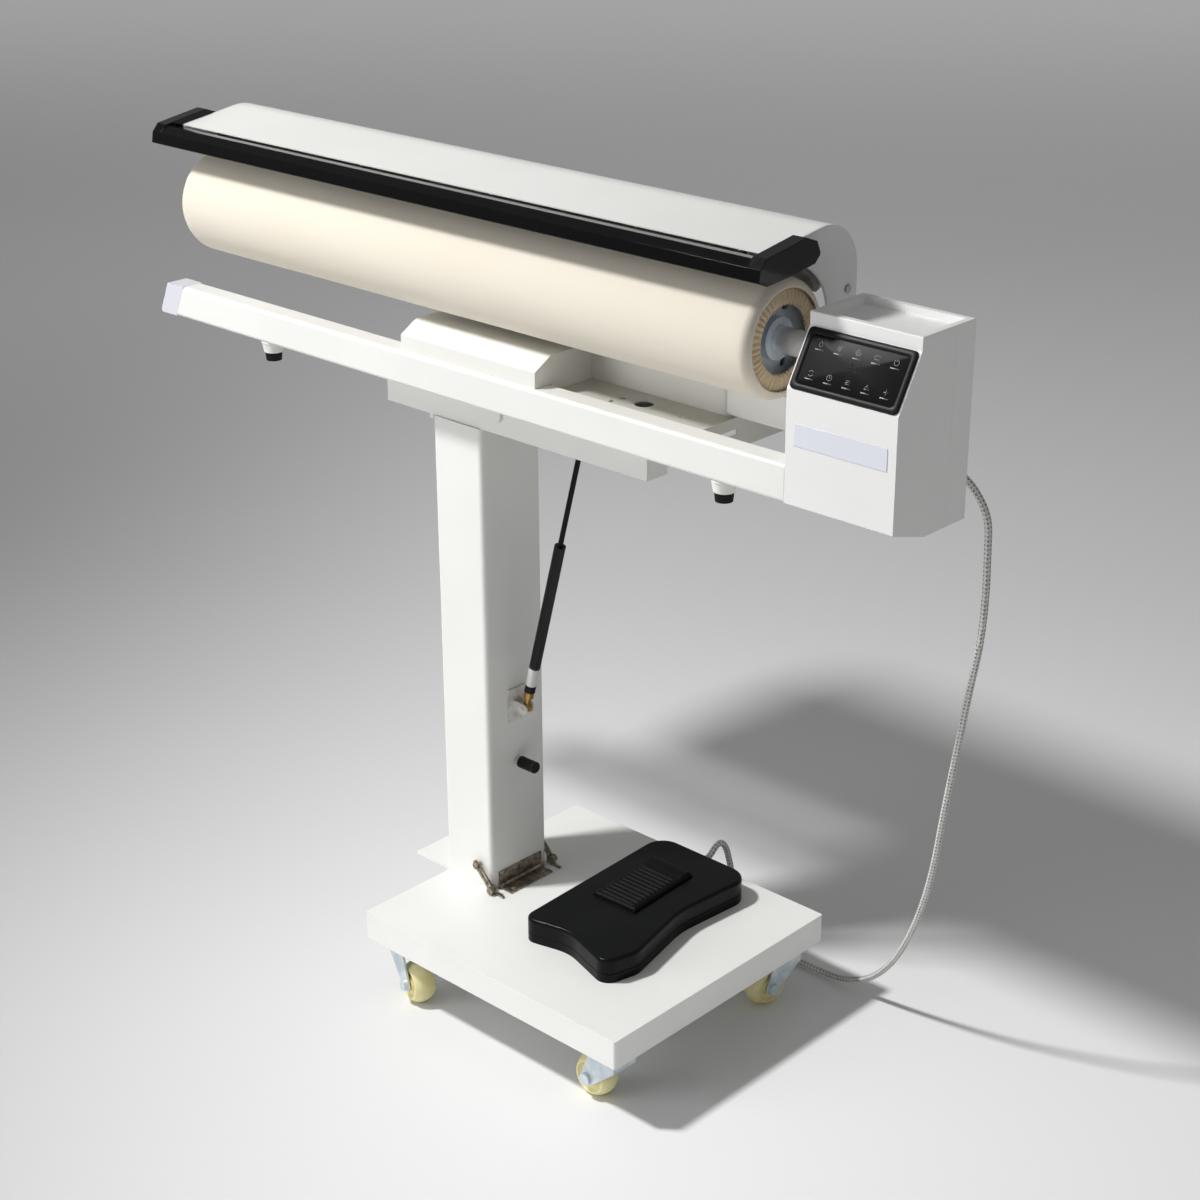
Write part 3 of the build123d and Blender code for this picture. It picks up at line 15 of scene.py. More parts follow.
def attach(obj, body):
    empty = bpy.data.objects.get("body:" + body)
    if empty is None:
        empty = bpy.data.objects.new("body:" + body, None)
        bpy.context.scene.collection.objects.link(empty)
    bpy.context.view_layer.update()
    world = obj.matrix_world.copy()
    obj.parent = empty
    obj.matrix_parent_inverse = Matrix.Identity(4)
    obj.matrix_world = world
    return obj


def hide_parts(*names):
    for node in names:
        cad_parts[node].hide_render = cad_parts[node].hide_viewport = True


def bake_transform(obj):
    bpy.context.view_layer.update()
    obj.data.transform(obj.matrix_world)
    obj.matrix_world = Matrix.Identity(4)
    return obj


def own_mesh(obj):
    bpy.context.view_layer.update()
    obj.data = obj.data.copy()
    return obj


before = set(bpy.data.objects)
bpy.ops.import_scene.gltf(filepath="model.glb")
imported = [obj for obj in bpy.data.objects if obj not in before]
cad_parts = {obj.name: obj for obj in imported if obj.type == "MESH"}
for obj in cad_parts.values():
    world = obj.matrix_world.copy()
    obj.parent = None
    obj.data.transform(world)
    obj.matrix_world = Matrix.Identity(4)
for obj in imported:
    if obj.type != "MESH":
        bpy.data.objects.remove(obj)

log = logging.getLogger("ironer")
Colour = tuple[float, float, float, float]
Point = tuple[float, float, float]
Span = tuple[float, float]
Piece = bpy.types.Object
Socket = bpy.types.NodeSocket
Shader = bpy.types.Node
SEED = 11
FULL_TURN = 2 * math.pi
MERGE_DISTANCE = 1e-6
X_AXIS = np.array([1.0, 0.0, 0.0])
Z_AXIS = np.array([0.0, 0.0, 1.0])


# ==== Colours and node trees =================================================
def tone(red: float, green: float, blue: float) -> Colour:
    """Linear colour of a screen tone from 0 to 255, c = ((s / 255 + 0.055) / 1.055) ** 2.4."""
    return (*(((value / 255 + 0.055) / 1.055) ** 2.4 for value in (red, green, blue)), 1.0)


def shaded(colour: Colour, by: Point) -> Colour:
    """Colour with its red, green and blue each multiplied."""
    return tuple(part * factor for part, factor in zip(colour, (*by, 1.0)))


class Tree:
    """A shader's node tree, with short ways to place and join its nodes."""

    def __init__(self, tree: bpy.types.NodeTree) -> None:
        """Keeps the tree that the nodes go in."""
        self.tree = tree

    def node(self, kind: str, inputs: dict | None = None, **settings: object) -> Shader:
        """Places one shader node.

        Args:
            kind: The node's type name after ShaderNode.
            inputs: Value, or socket to link, for each named or numbered input.
            **settings: The node's own properties.

        Returns:
            The placed node.
        """
        made = self.tree.nodes.new("ShaderNode" + kind)
        for name, value in settings.items():
            setattr(made, name, value)
        self.fill(made, inputs or {})
        return made

    def fill(self, node: Shader, inputs: dict) -> None:
        """Links or sets inputs of a node.

        Args:
            node: The node.
            inputs: Value, or socket to link, for each named or numbered input.
        """
        for name, value in inputs.items():
            if isinstance(value, Socket):
                self.tree.links.new(value, node.inputs[name])
            else:
                node.inputs[name].default_value = value

    def math(self, operation: str, first: object, second: object = 0.0) -> Socket:
        """Result of one arithmetic node on two values or sockets."""
        return self.node("Math", {0: first, 1: second}, operation=operation).outputs[0]

    def along(self, place: object, axis: Point) -> Socket:
        """Distance of a place along an axis."""
        return self.node("VectorMath", {0: place, 1: axis}, operation="DOT_PRODUCT").outputs["Value"]

    def mix(self, factor: object, first: object, second: object) -> Socket:
        """Colour between two colours, the first one at factor 0."""
        return self.node("Mix", {0: factor, 6: first, 7: second}, data_type="RGBA").outputs[2]

    def noise(self, place: object, scale: object, detail: float = 3.0) -> Socket:
        """Noise from 0 to 1 at a place, with that many lumps per metre."""
        return self.node("TexNoise", {"Vector": place, "Scale": scale, "Detail": detail}).outputs[0]

    def ramp(self, value: object, low: float, high: float) -> Socket:
        """Smooth step of a value, 0 at low and 1 at high."""
        inputs = {"Value": value, "From Min": low, "From Max": high}
        return self.node("MapRange", inputs, interpolation_type="SMOOTHSTEP").outputs[0]

    def wave(self, turns: object) -> Socket:
        """Sine of a number of whole turns."""
        return self.math("SINE", self.math("MULTIPLY", turns, FULL_TURN))

    def grey(self, value: object) -> Socket:
        """Grey colour of a value."""
        return self.node("CombineColor", {0: value, 1: value, 2: value}).outputs[0]

    def cover(self, shader: Shader, group: bpy.types.NodeTree, inputs: dict) -> None:
        """Places a node group and joins its outputs to a surface shader.

        Args:
            shader: The surface shader.
            group: The group.
            inputs: Value, or socket to link, for each of the group's inputs.
        """
        for output in self.node("Group", inputs, node_tree=group).outputs:
            self.tree.links.new(output, shader.inputs[GROUP_OUTPUTS[output.name][1]])


GROUP_OUTPUTS = {"Colour": ("NodeSocketColor", "Base Color"),
                 "Roughness": ("NodeSocketFloat", "Roughness"),
                 "Normal": ("NodeSocketVector", "Normal")}
INPUT_KINDS = {1: "NodeSocketFloat", 3: "NodeSocketVector", 4: "NodeSocketColor"}
NO_VECTOR = (0.0, 0.0, 0.0)
WHITE = (1.0, 1.0, 1.0, 1.0)


def new_group(name: str, inputs: dict[str, object],
              outputs: tuple[str, ...]) -> tuple[Tree, dict[str, Socket], Shader]:
    """Starts a shader node group.

    Args:
        name: The group's name.
        inputs: Default of each input: a number, a colour of four or a vector of three.
        outputs: Names of its outputs, out of GROUP_OUTPUTS.

    Returns:
        The group's tree, its inner sockets by input name, and its output node.
    """
    group = bpy.data.node_groups.new(name, "ShaderNodeTree")
    for label, default in inputs.items():
        kind = INPUT_KINDS[len(default) if isinstance(default, tuple) else 1]
        group.interface.new_socket(label, in_out="INPUT", socket_type=kind).default_value = default
    for label in outputs:
        group.interface.new_socket(label, in_out="OUTPUT", socket_type=GROUP_OUTPUTS[label][0])
    start = group.nodes.new("NodeGroupInput")
    end = group.nodes.new("NodeGroupOutput")
    return Tree(group), {label: start.outputs[label] for label in inputs}, end


@functools.cache
def surface_group() -> bpy.types.NodeTree:
    """Group of a worn, fine-grained surface.

    Colour goes from Colour to Tint by Mottle times a smooth noise, roughness is Roughness plus
    Spread times a finer noise, and the normal is a bump of a third noise at Grain.

    Returns:
        The group, made once.
    """
    inputs = {"Place": NO_VECTOR, "Colour": WHITE, "Tint": WHITE, "Mottle": 0.5, "Patch": 9.0,
              "Roughness": 0.5, "Spread": 0.1, "Grain": 1200.0, "Depth": 0.1, "Edge Normal": NO_VECTOR}
    tree, given, end = new_group("surface", inputs, ("Colour", "Roughness", "Normal"))
    patches = tree.ramp(tree.noise(given["Place"], given["Patch"]), 0.35, 0.65)
    colour = tree.mix(tree.math("MULTIPLY", patches, given["Mottle"]), given["Colour"], given["Tint"])
    smears = tree.noise(given["Place"], tree.math("MULTIPLY", given["Patch"], 4.0), 5.0)
    change = tree.math("MULTIPLY", tree.math("SUBTRACT", smears, 0.5), given["Spread"])
    grain = tree.noise(given["Place"], given["Grain"], 2.0)
    bump = tree.node("Bump", {"Strength": given["Depth"], "Distance": 0.0004, "Height": grain,
                              "Normal": given["Edge Normal"]})
    tree.fill(end, {"Colour": colour, "Roughness": tree.math("ADD", given["Roughness"], change),
                    "Normal": bump.outputs[0]})
    return tree.tree


@functools.cache
def weave_group() -> bpy.types.NodeTree:
    """Group of a plain weave on a piece's UV map, whose unit is a metre.

    Height is sin(2 pi u / p) times sin(2 pi v / p), which stands up where warp and weft cross,
    and painted shade darkens the colour in the pits between the threads.

    Returns:
        The group, made once.
    """
    inputs = {"Map": NO_VECTOR, "Pitch": 0.0008, "Colour": WHITE, "Painted Pit Shade": WHITE, "Depth": 0.3}
    tree, given, end = new_group("weave", inputs, ("Colour", "Normal"))
    split = tree.node("SeparateXYZ", {0: given["Map"]})
    warp, weft = (tree.wave(tree.math("DIVIDE", split.outputs[axis], given["Pitch"])) for axis in range(2))
    slub = tree.noise(given["Map"], 700.0, 3.0)
    height = tree.math("ADD", tree.math("MULTIPLY", warp, weft), tree.math("MULTIPLY", slub, 0.8))
    # painted shade: the pits between the threads take the darker colour
    colour = tree.mix(tree.ramp(height, -0.7, 0.5), given["Painted Pit Shade"], given["Colour"])
    bump = tree.node("Bump", {"Strength": given["Depth"], "Distance": 0.0002, "Height": height})
    tree.fill(end, {"Colour": colour, "Normal": bump.outputs[0]})
    return tree.tree


@functools.cache
def braid_group() -> bpy.types.NodeTree:
    """Group of a braided sleeve on a cable's UV map, u along it in metres and v once round it.

    Two sets of strands wind opposite ways, a = sin(2 pi (n v + u / p)) and b = sin(2 pi (n v - u / p)).
    Their product is the height, and dark threads show where it is high.

    Returns:
        The group, made once.
    """
    inputs = {"Map": NO_VECTOR, "Pitch": 0.0095, "Strands": 3.0, "Colour": WHITE, "Thread Colour": WHITE,
              "Depth": 0.8}
    tree, given, end = new_group("braid", inputs, ("Colour", "Normal"))
    split = tree.node("SeparateXYZ", {0: given["Map"]})
    along = tree.math("DIVIDE", split.outputs[0], given["Pitch"])
    round_it = tree.math("MULTIPLY", split.outputs[1], given["Strands"])
    left, right = (tree.wave(tree.math(sign, round_it, along)) for sign in ("ADD", "SUBTRACT"))
    height = tree.math("MULTIPLY", left, right)
    worn = tree.ramp(tree.noise(given["Map"], 60.0, 2.0), 0.3, 0.6)
    flecks = tree.math("MULTIPLY", tree.ramp(height, 0.25, 0.5), worn)
    bump = tree.node("Bump", {"Strength": given["Depth"], "Distance": 0.0006, "Height": height})
    tree.fill(end, {"Colour": tree.mix(flecks, given["Colour"], given["Thread Colour"]),
                    "Normal": bump.outputs[0]})
    return tree.tree


# ==== Finishes ===============================================================
class Metalness(Enum):
    """How far a surface reflects as a metal does."""

    NONE = 0.0
    FAINT = 0.15
    THIN = 0.4
    PLATED = 0.85
    FULL = 1.0


@dataclass(frozen=True)
class Look:
    """What every finish shares: a name, and one material made when it is first asked for."""

    name: str

    @functools.cache
    def material(self) -> bpy.types.Material:
        """Makes the material once.

        Returns:
            The material.
        """
        made = bpy.data.materials.new("look_" + self.name)
        made.use_nodes = True
        self.dress(Tree(made.node_tree), made.node_tree.nodes["Principled BSDF"])
        return made

    def dress(self, tree: Tree, shader: Shader) -> None:
        """Gives the shader its look, in each kind of finish its own way."""
        raise NotImplementedError(self.name)


@dataclass(frozen=True)
class Finish(Look):
    """A hard surface: paint, moulded plastic, plating or rubber.

    Sizes are in metres, and patch and grain in lumps per metre.
    """

    colour: Colour
    tint: Colour
    mottle: float = 0.5
    patch: float = 7.0
    roughness: float = 0.45
    spread: float = 0.12
    grain: float = 1300.0
    depth: float = 0.08
    metal: Metalness = Metalness.NONE
    coat: float = 0.0
    coat_roughness: float = 0.08
    specular: float = 0.5
    edge: float = 0.0007
    stretch: Point = (1.0, 1.0, 1.0)

    def dress(self, tree: Tree, shader: Shader) -> None:
        """Sets what is the same all over, and paints the rest.

        Args:
            tree: The material's tree.
            shader: Its surface shader.
        """
        tree.fill(shader, {"Metallic": self.metal.value, "Coat Weight": self.coat,
                           "Coat Roughness": self.coat_roughness, "Specular IOR Level": self.specular})
        self.paint(tree, shader, tree.node("TexCoord").outputs["Object"])

    def paint(self, tree: Tree, shader: Shader, place: Socket) -> None:
        """Paints the surface in its two colours."""
        self.grained(tree, shader, place, self.colour, self.tint)

    def grained(self, tree: Tree, shader: Shader, place: Socket, colour: object, tint: object) -> None:
        """Joins the surface group into the shader.

        Args:
            tree: The material's tree.
            shader: Its surface shader.
            place: Object coordinates.
            colour: Main colour or socket.
            tint: Second colour or socket.
        """
        stretched = tree.node("Mapping", {"Vector": place, "Scale": self.stretch}).outputs[0]
        rounded = tree.node("Bevel", {"Radius": self.edge}, samples=4).outputs[0]
        tree.cover(shader, surface_group(), {
            "Place": stretched, "Colour": colour, "Tint": tint, "Mottle": self.mottle, "Patch": self.patch,
            "Roughness": self.roughness, "Spread": self.spread, "Grain": self.grain, "Depth": self.depth,
            "Edge Normal": rounded})


@dataclass(frozen=True)
class Band:
    """A stretch of a part in another colour, from low to high along an axis, in metres."""

    low: float
    high: float
    colour: Colour
    metallic: float = 0.0


@dataclass(frozen=True)
class BandedFinish(Finish):
    """A finish with bands across one axis, as on a part joined from several lengths."""

    origin: Point = (0.0, 0.0, 0.0)
    axis: Point = (1.0, 0.0, 0.0)
    bands: tuple[Band, ...] = ()

    def paint(self, tree: Tree, shader: Shader, place: Socket) -> None:
        """Mixes each band over the main colour, where low < (place - origin) . axis < high.

        Args:
            tree: The material's tree.
            shader: Its surface shader.
            place: Object coordinates.
        """
        moved = tree.node("VectorMath", {0: place, 1: self.origin}, operation="SUBTRACT").outputs[0]
        along = tree.along(moved, self.axis)
        colour, tint, metallic = self.colour, self.tint, self.metal.value
        for band in self.bands:
            inside = tree.math("MULTIPLY", tree.math("GREATER_THAN", along, band.low),
                               tree.math("LESS_THAN", along, band.high))
            colour = tree.mix(inside, colour, band.colour)
            tint = tree.mix(inside, tint, shaded(band.colour, (0.8, 0.8, 0.8)))
            metallic = tree.node("Mix", {0: inside, 2: metallic, 3: band.metallic}).outputs[0]
        self.grained(tree, shader, place, colour, tint)
        tree.fill(shader, {"Metallic": metallic})


@dataclass(frozen=True)
class Cloth(Look):
    """A woven finish on a UV map in metres."""

    colour: Colour
    # darker colour of the weave's pits, which is painted shade
    pit: Colour
    pitch: float = 0.0008
    depth: float = 0.25
    roughness: float = 0.92
    sheen: float = 0.25
    sheen_roughness: float = 0.4
    stain: float = 0.3
    stain_shade: Point = (0.96, 0.94, 0.88)

    def dress(self, tree: Tree, shader: Shader) -> None:
        """Weaves the cloth, with faint stains in wide patches.

        Args:
            tree: The material's tree.
            shader: Its surface shader.
        """
        tree.fill(shader, {"Roughness": self.roughness, "Sheen Weight": self.sheen,
                           "Sheen Roughness": self.sheen_roughness})
        coordinates = tree.node("TexCoord")
        patches = tree.ramp(tree.noise(coordinates.outputs["Object"], 5.0), 0.35, 0.7)
        worn = tree.mix(tree.math("MULTIPLY", patches, self.stain), self.colour,
                        shaded(self.colour, self.stain_shade))
        tree.cover(shader, weave_group(), {"Map": coordinates.outputs["UV"], "Pitch": self.pitch,
                                           "Colour": worn, "Painted Pit Shade": self.pit, "Depth": self.depth})


@dataclass(frozen=True)
class Braid(Look):
    """A braided cable sleeve."""

    colour: Colour
    thread: Colour
    roughness: float = 0.8

    def dress(self, tree: Tree, shader: Shader) -> None:
        """Winds the strands round the cable.

        Args:
            tree: The material's tree.
            shader: Its surface shader.
        """
        tree.fill(shader, {"Roughness": self.roughness})
        tree.cover(shader, braid_group(), {"Map": tree.node("TexCoord").outputs["UV"],
                                           "Colour": self.colour, "Thread Colour": self.thread})


@dataclass(frozen=True)
class FloorPaper(Look):
    """Seamless backdrop paper, paler near the machine and darker behind and to its left, as a painted pool
    of light and painted shade.

    Distances run along right and away, as the camera sees them, in metres.
    """

    # near, behind and the left shade amount hold painted light: a pool of light near the machine, painted
    # shade behind it and to its left
    near: float = 0.87
    behind: float = 0.655
    painted_left_shade: float = 0.49
    glow: float = 0.18
    fibre: float = 0.012
    roughness: float = 0.9
    specular: float = 0.15
    right: Point = (0.7286, 0.685, 0.0)
    away: Point = (-0.685, 0.7286, 0.0)
    painted_shade_span: Span = (-0.5, 1.3)
    left_edge: Span = (-1.15, 0.15)
    left_end: Span = (1.2, 3.6)
    glow_rise: Span = (3.0, 8.0)

    def dress(self, tree: Tree, shader: Shader) -> None:
        """Shades the paper.

        With u to the right and v away from the camera, the albedo goes from near to behind as v
        grows, a painted falloff of light, times one minus the left shade amount towards negative u,
        which is painted shade. Far away a little glow stands in for the light that falls on a raised
        backdrop.

        Args:
            tree: The material's tree.
            shader: Its surface shader.
        """
        place = tree.node("TexCoord").outputs["Object"]
        u, v = tree.along(place, self.right), tree.along(place, self.away)
        # painted falloff of light: the albedo darkens away from the machine
        fall = tree.math("MULTIPLY", tree.ramp(v, *self.painted_shade_span), self.behind - self.near)
        left = tree.math("MULTIPLY", tree.math("SUBTRACT", 1.0, tree.ramp(u, *self.left_edge)),
                         tree.math("SUBTRACT", 1.0, tree.ramp(v, *self.left_end)))
        # painted shade towards the left
        shade = tree.math("SUBTRACT", 1.0, tree.math("MULTIPLY", left, self.painted_left_shade))
        albedo = tree.math("MULTIPLY", tree.math("ADD", self.near, fall), shade)
        fibres = tree.math("MULTIPLY", tree.noise(place, 3.0), self.fibre)
        lit = tree.math("MULTIPLY", tree.ramp(v, *self.glow_rise), self.glow)
        tree.fill(shader, {"Roughness": self.roughness, "Specular IOR Level": self.specular,
                           "Base Color": tree.grey(tree.math("ADD", albedo, fibres)),
                           "Emission Strength": 1.0, "Emission Color": tree.grey(lit)})


WHITE_PAINT = Finish("white_paint", tone(240, 240, 237), tone(233, 233, 229), roughness=0.38,
                     grain=1500.0, depth=0.07)
WHITE_BOX = Finish("white_box_paint", tone(240, 240, 239), tone(234, 234, 233), roughness=0.5,
                   grain=1900.0, depth=0.16)
WHITE_PLASTIC = Finish("white_plastic", tone(240, 240, 235), tone(232, 231, 224), roughness=0.42,
                       edge=0.0012)
END_PANEL = Finish("end_panel_paint", tone(226, 226, 226), tone(220, 220, 221), roughness=0.5)
TRAY_PAINT = Finish("tray_paint", tone(206, 205, 198), tone(196, 195, 188), roughness=0.5)
CAP_PLASTIC = Finish("end_cap_plastic", tone(219, 220, 227), tone(212, 213, 221), roughness=0.4,
                     edge=0.0012)
STRIP_PLASTIC = Finish("strip_plastic", tone(227, 229, 238), tone(222, 224, 235), roughness=0.3,
                       depth=0.03)
ZINC = Finish("zinc_plate", tone(224, 229, 230), tone(188, 205, 217), mottle=0.8, patch=60.0,
              roughness=0.36, spread=0.3, grain=900.0, depth=0.1, metal=Metalness.THIN, edge=0.0005)
BLUE_ZINC = Finish("roller_disc_zinc", tone(206, 214, 222), tone(182, 195, 210), mottle=0.7,
                   patch=40.0, roughness=0.42, spread=0.25, grain=700.0, depth=0.1,
                   metal=Metalness.FAINT)
BRACKET_ZINC = Finish("spring_bracket_zinc", tone(232, 231, 226), tone(204, 198, 186), mottle=0.7,
                      patch=120.0, roughness=0.45, spread=0.3, metal=Metalness.FAINT)
DARK_NICKEL = Finish("dark_nickel", tone(178, 168, 150), tone(118, 108, 96), mottle=0.9, patch=160.0,
                     roughness=0.32, spread=0.3, grain=1500.0, depth=0.1, metal=Metalness.PLATED,
                     edge=0.0004)
CHROME = Finish("shaft_chrome", tone(220, 223, 226), tone(200, 204, 210), mottle=0.3, roughness=0.24,
                spread=0.15, depth=0.02, metal=Metalness.THIN)
BRIGHT_STEEL = Finish("bright_steel", tone(190, 190, 192), tone(160, 160, 163), patch=30.0,
                      roughness=0.32, spread=0.2, depth=0.05, metal=Metalness.FULL)
ALUMINIUM = Finish("shoe_aluminium", tone(206, 206, 208), tone(180, 180, 183), patch=20.0,
                   roughness=0.3, spread=0.15, depth=0.04, metal=Metalness.FULL,
                   stretch=(0.1, 1.0, 1.0))
NYLON = Finish("caster_nylon", tone(238, 230, 176), tone(226, 214, 148), mottle=0.7, patch=35.0,
               roughness=0.4, spread=0.15, depth=0.05, coat=0.15, edge=0.001)
BLACK_PLASTIC = Finish("black_plastic", tone(12, 13, 14), tone(20, 21, 22), patch=14.0,
                       roughness=0.3, spread=0.1, grain=2200.0, depth=0.1, specular=0.13, edge=0.0009)
BLACK_GLOSS = Finish("black_gloss", tone(5, 5, 6), tone(9, 9, 10), patch=12.0, roughness=0.12,
                     spread=0.08, depth=0.02, specular=0.25, edge=0.0016)
PANEL_FRAME = Finish("panel_frame_plastic", tone(26, 27, 28), tone(32, 33, 34), roughness=0.4,
                     depth=0.06, specular=0.2, edge=0.0009)
PANEL_GLASS = Finish("panel_window", tone(16, 16, 18), tone(21, 21, 23), roughness=0.3, spread=0.06,
                     depth=0.0, specular=0.06)
PANEL_PRINT = Finish("panel_print", tone(205, 207, 210), tone(190, 192, 196), roughness=0.5)
PANEL_DIGIT = Finish("panel_digit", tone(66, 68, 72), tone(60, 62, 66), roughness=0.4)
PAD_RUBBER = Finish("treadle_rubber", tone(10, 10, 11), tone(17, 17, 18), patch=20.0, roughness=0.5,
                    specular=0.12, grain=1800.0, depth=0.15)
RUBBER = Finish("black_rubber", tone(14, 14, 14), tone(24, 23, 22), roughness=0.7, specular=0.3,
                grain=900.0, depth=0.15)
GREY_PLASTIC = Finish("grey_plastic", tone(150, 150, 150), tone(140, 140, 140))
CIRCUIT = Finish("circuit_board", tone(30, 92, 52), tone(22, 70, 40), patch=60.0, roughness=0.35)
GEAR_PLASTIC = Finish("gear_plastic", tone(228, 224, 208), tone(214, 208, 188))
ELEMENT = Finish("element_steel", tone(110, 106, 100), tone(84, 78, 74), patch=50.0, roughness=0.5,
                 metal=Metalness.FULL)
SPRING_AXIS = (0.25799, 0.0, 0.96615)
SPRING_FOOT = (-0.024, 0.0, 0.337)
SPRING_TUBE = BandedFinish(
    "gas_spring_paint", tone(8, 8, 9), tone(14, 14, 15), roughness=0.28, specular=0.25, depth=0.03,
    origin=SPRING_FOOT, axis=SPRING_AXIS,
    bands=(Band(-0.02, 0.0245, tone(186, 148, 82), 1.0), Band(0.034, 0.058, tone(214, 214, 210)),
           Band(0.0575, 0.0595, tone(60, 60, 60))))
BUMPER = BandedFinish("bumper_rubber", tone(10, 10, 10), tone(20, 19, 18), roughness=0.5, specular=0.3,
                      bands=(Band(-0.0405, -0.0342, tone(206, 206, 202)),))
COTTON = Cloth("cotton_cover", tone(234, 227, 213), tone(225, 214, 195))
HEM = Cloth("gathered_hem", tone(226, 206, 174), tone(202, 178, 142), pitch=0.0011, depth=0.5)
FELT = Cloth("roller_felt", tone(214, 208, 192), tone(196, 188, 170), pitch=0.002, depth=0.6)
BRAID = Braid("cable_braid", tone(208, 207, 204), tone(84, 84, 86))

NODE_FINISHES: dict[Look, tuple[str, ...]] = {
    WHITE_PAINT: ("base_plate", "column", "saddle", "front_beam", "head_frame", "hood_shell",
                  "head_hinge_bracket"),
    WHITE_BOX: ("control_box", "control_box_rear_cover"),
    WHITE_PLASTIC: ("front_cover", "rear_housing", "foot_cups"),
    END_PANEL: ("hood_ribs",),
    TRAY_PAINT: ("tray",),
    CAP_PLASTIC: ("beam_end_cap",),
    ZINC: ("caster_mounts", "caster_fork_front_left", "caster_fork_front_right",
           "caster_fork_rear_left", "caster_fork_rear_right", "caster_brake_lever",
           "hood_pivot_arms", "drive_bracket"),
    BRACKET_ZINC: ("gas_spring_bracket",),
    BLUE_ZINC: ("roller_core",),
    DARK_NICKEL: ("foot_hinge_lower_leaf", "foot_hinge_upper_leaf", "latch_brackets", "latch_front",
                  "latch_rear", "latch_studs"),
    CHROME: ("roller_shaft",),
    BRIGHT_STEEL: ("hood_pivot_rod", "motor_pinion", "pedal_spring", "drive_motor"),
    ALUMINIUM: ("shoe",),
    NYLON: ("caster_wheel_front_left", "caster_wheel_front_right", "caster_wheel_rear_left",
            "caster_wheel_rear_right"),
    BLACK_PLASTIC: ("pedal_base", "pedal_cover", "pedal_treadle", "cable_connector", "gas_spring_rod"),
    BLACK_GLOSS: ("handle",),
    PANEL_FRAME: ("control_panel",),
    RUBBER: ("foot_pads",),
    GREY_PLASTIC: ("cable_gland",),
    CIRCUIT: ("circuit_board",),
    GEAR_PLASTIC: ("drive_gear",),
    ELEMENT: ("heating_element",),
    SPRING_TUBE: ("gas_spring_tube",),
    BUMPER: ("bumper",),
}


# ==== Surfaces ===============================================================
def grid_mesh(name: str, points: np.ndarray, chart: np.ndarray | None = None,
              wrap: tuple[bool, bool] = (False, True), merge: float = MERGE_DISTANCE) -> bpy.types.Mesh:
    """Mesh whose skin is a grid of points, quad by quad.

    Face (i, j) joins points (i, j), (i+1, j), (i+1, j+1) and (i, j+1), and a wrapped direction
    joins its last row to its first.

    Args:
        name: The mesh's name.
        points: Grid of shape (rows, columns, 3), in metres.
        chart: UV grid, one row or column longer in a wrapped direction.
        wrap: Whether rows and columns close on themselves.
        merge: Distance within which points become one before the faces are turned outwards,
            or 0 to leave the grid as it is.

    Returns:
        The mesh.
    """
    rows, columns = points.shape[:2]
    i, j = np.meshgrid(np.arange(rows - (not wrap[0])), np.arange(columns - (not wrap[1])), indexing="ij")
    corner_i = np.stack([i, i + 1, i + 1, i], -1)
    corner_j = np.stack([j, j, j + 1, j + 1], -1)
    faces = (corner_i % rows * columns + corner_j % columns).reshape(-1, 4)
    mesh = bpy.data.meshes.new(name)
    mesh.from_pydata(points.reshape(-1, 3).tolist(), [], faces.tolist())
    if chart is not None:
        layer = mesh.uv_layers.new(name="UVMap")
        layer.data.foreach_set("uv", chart[corner_i, corner_j].astype(np.float32).ravel())
    if merge:
        shell = bmesh.new()
        shell.from_mesh(mesh)
        bmesh.ops.remove_doubles(shell, verts=shell.verts, dist=merge)
        bmesh.ops.dissolve_degenerate(shell, edges=shell.edges, dist=0.1 * MERGE_DISTANCE)
        bmesh.ops.recalc_face_normals(shell, faces=shell.faces)
        shell.to_mesh(mesh)
        shell.free()
    return mesh


def mesh_piece(name: str, mesh: bpy.types.Mesh, look: Look) -> Piece:
    """Piece of a mesh, at the origin, with smooth faces.

    Args:
        name: The piece's name.
        mesh: Its mesh.
        look: Its finish.

    Returns:
        The piece.
    """
    mesh.polygons.foreach_set("use_smooth", np.ones(len(mesh.polygons), bool))
    mesh.materials.append(look.material())
    piece = bpy.data.objects.new(name, mesh)
    bpy.context.scene.collection.objects.link(piece)
    log.info("%s: %d faces", name, len(mesh.polygons))
    return piece


def grid_piece(name: str, points: np.ndarray, look: Look, slot: str, **shape: object) -> Piece:
    """Piece whose skin is one grid of points, with grid_mesh's own arguments in shape."""
    return mesh_piece(name, grid_mesh(name, points, **shape), look)


def joined_piece(name: str, grids: list[np.ndarray], look: Look) -> Piece:
    """Piece made of several grids, each of which is closed round its columns.

    Args:
        name: The piece's name.
        grids: Grids of points, in metres.
        look: Its finish.

    Returns:
        The piece.
    """
    shell = bmesh.new()
    for grid in grids:
        part = grid_mesh(name, grid)
        shell.from_mesh(part)
        bpy.data.meshes.remove(part)
    mesh = bpy.data.meshes.new(name)
    shell.to_mesh(mesh)
    shell.free()
    return mesh_piece(name, mesh, look)


def sides_of(axis: np.ndarray) -> tuple[np.ndarray, np.ndarray]:
    """Two unit vectors square to an axis and to each other.

    Args:
        axis: Unit vector.

    Returns:
        The two vectors.
    """
    first = np.cross(axis, np.eye(3)[np.argmin(np.abs(axis))])
    first /= np.linalg.norm(first)
    return first, np.cross(axis, first)


def turned_points(profile: np.ndarray, centre: np.ndarray, axis: np.ndarray, segments: int) -> np.ndarray:
    """Surface of revolution: centre + s axis + r (cos t first + sin t second).

    Args:
        profile: Rows of (s, r), along the axis and out from it.
        centre: Point where s is 0.
        axis: Unit vector.
        segments: Steps of the angle t round the axis.

    Returns:
        Grid of shape (len(profile), segments, 3).
    """
    first, second = sides_of(axis)
    angle = np.linspace(0, FULL_TURN, segments, endpoint=False)
    ring = np.cos(angle)[:, None] * first + np.sin(angle)[:, None] * second
    return centre + profile[:, 0, None, None] * axis + profile[:, 1, None, None] * ring


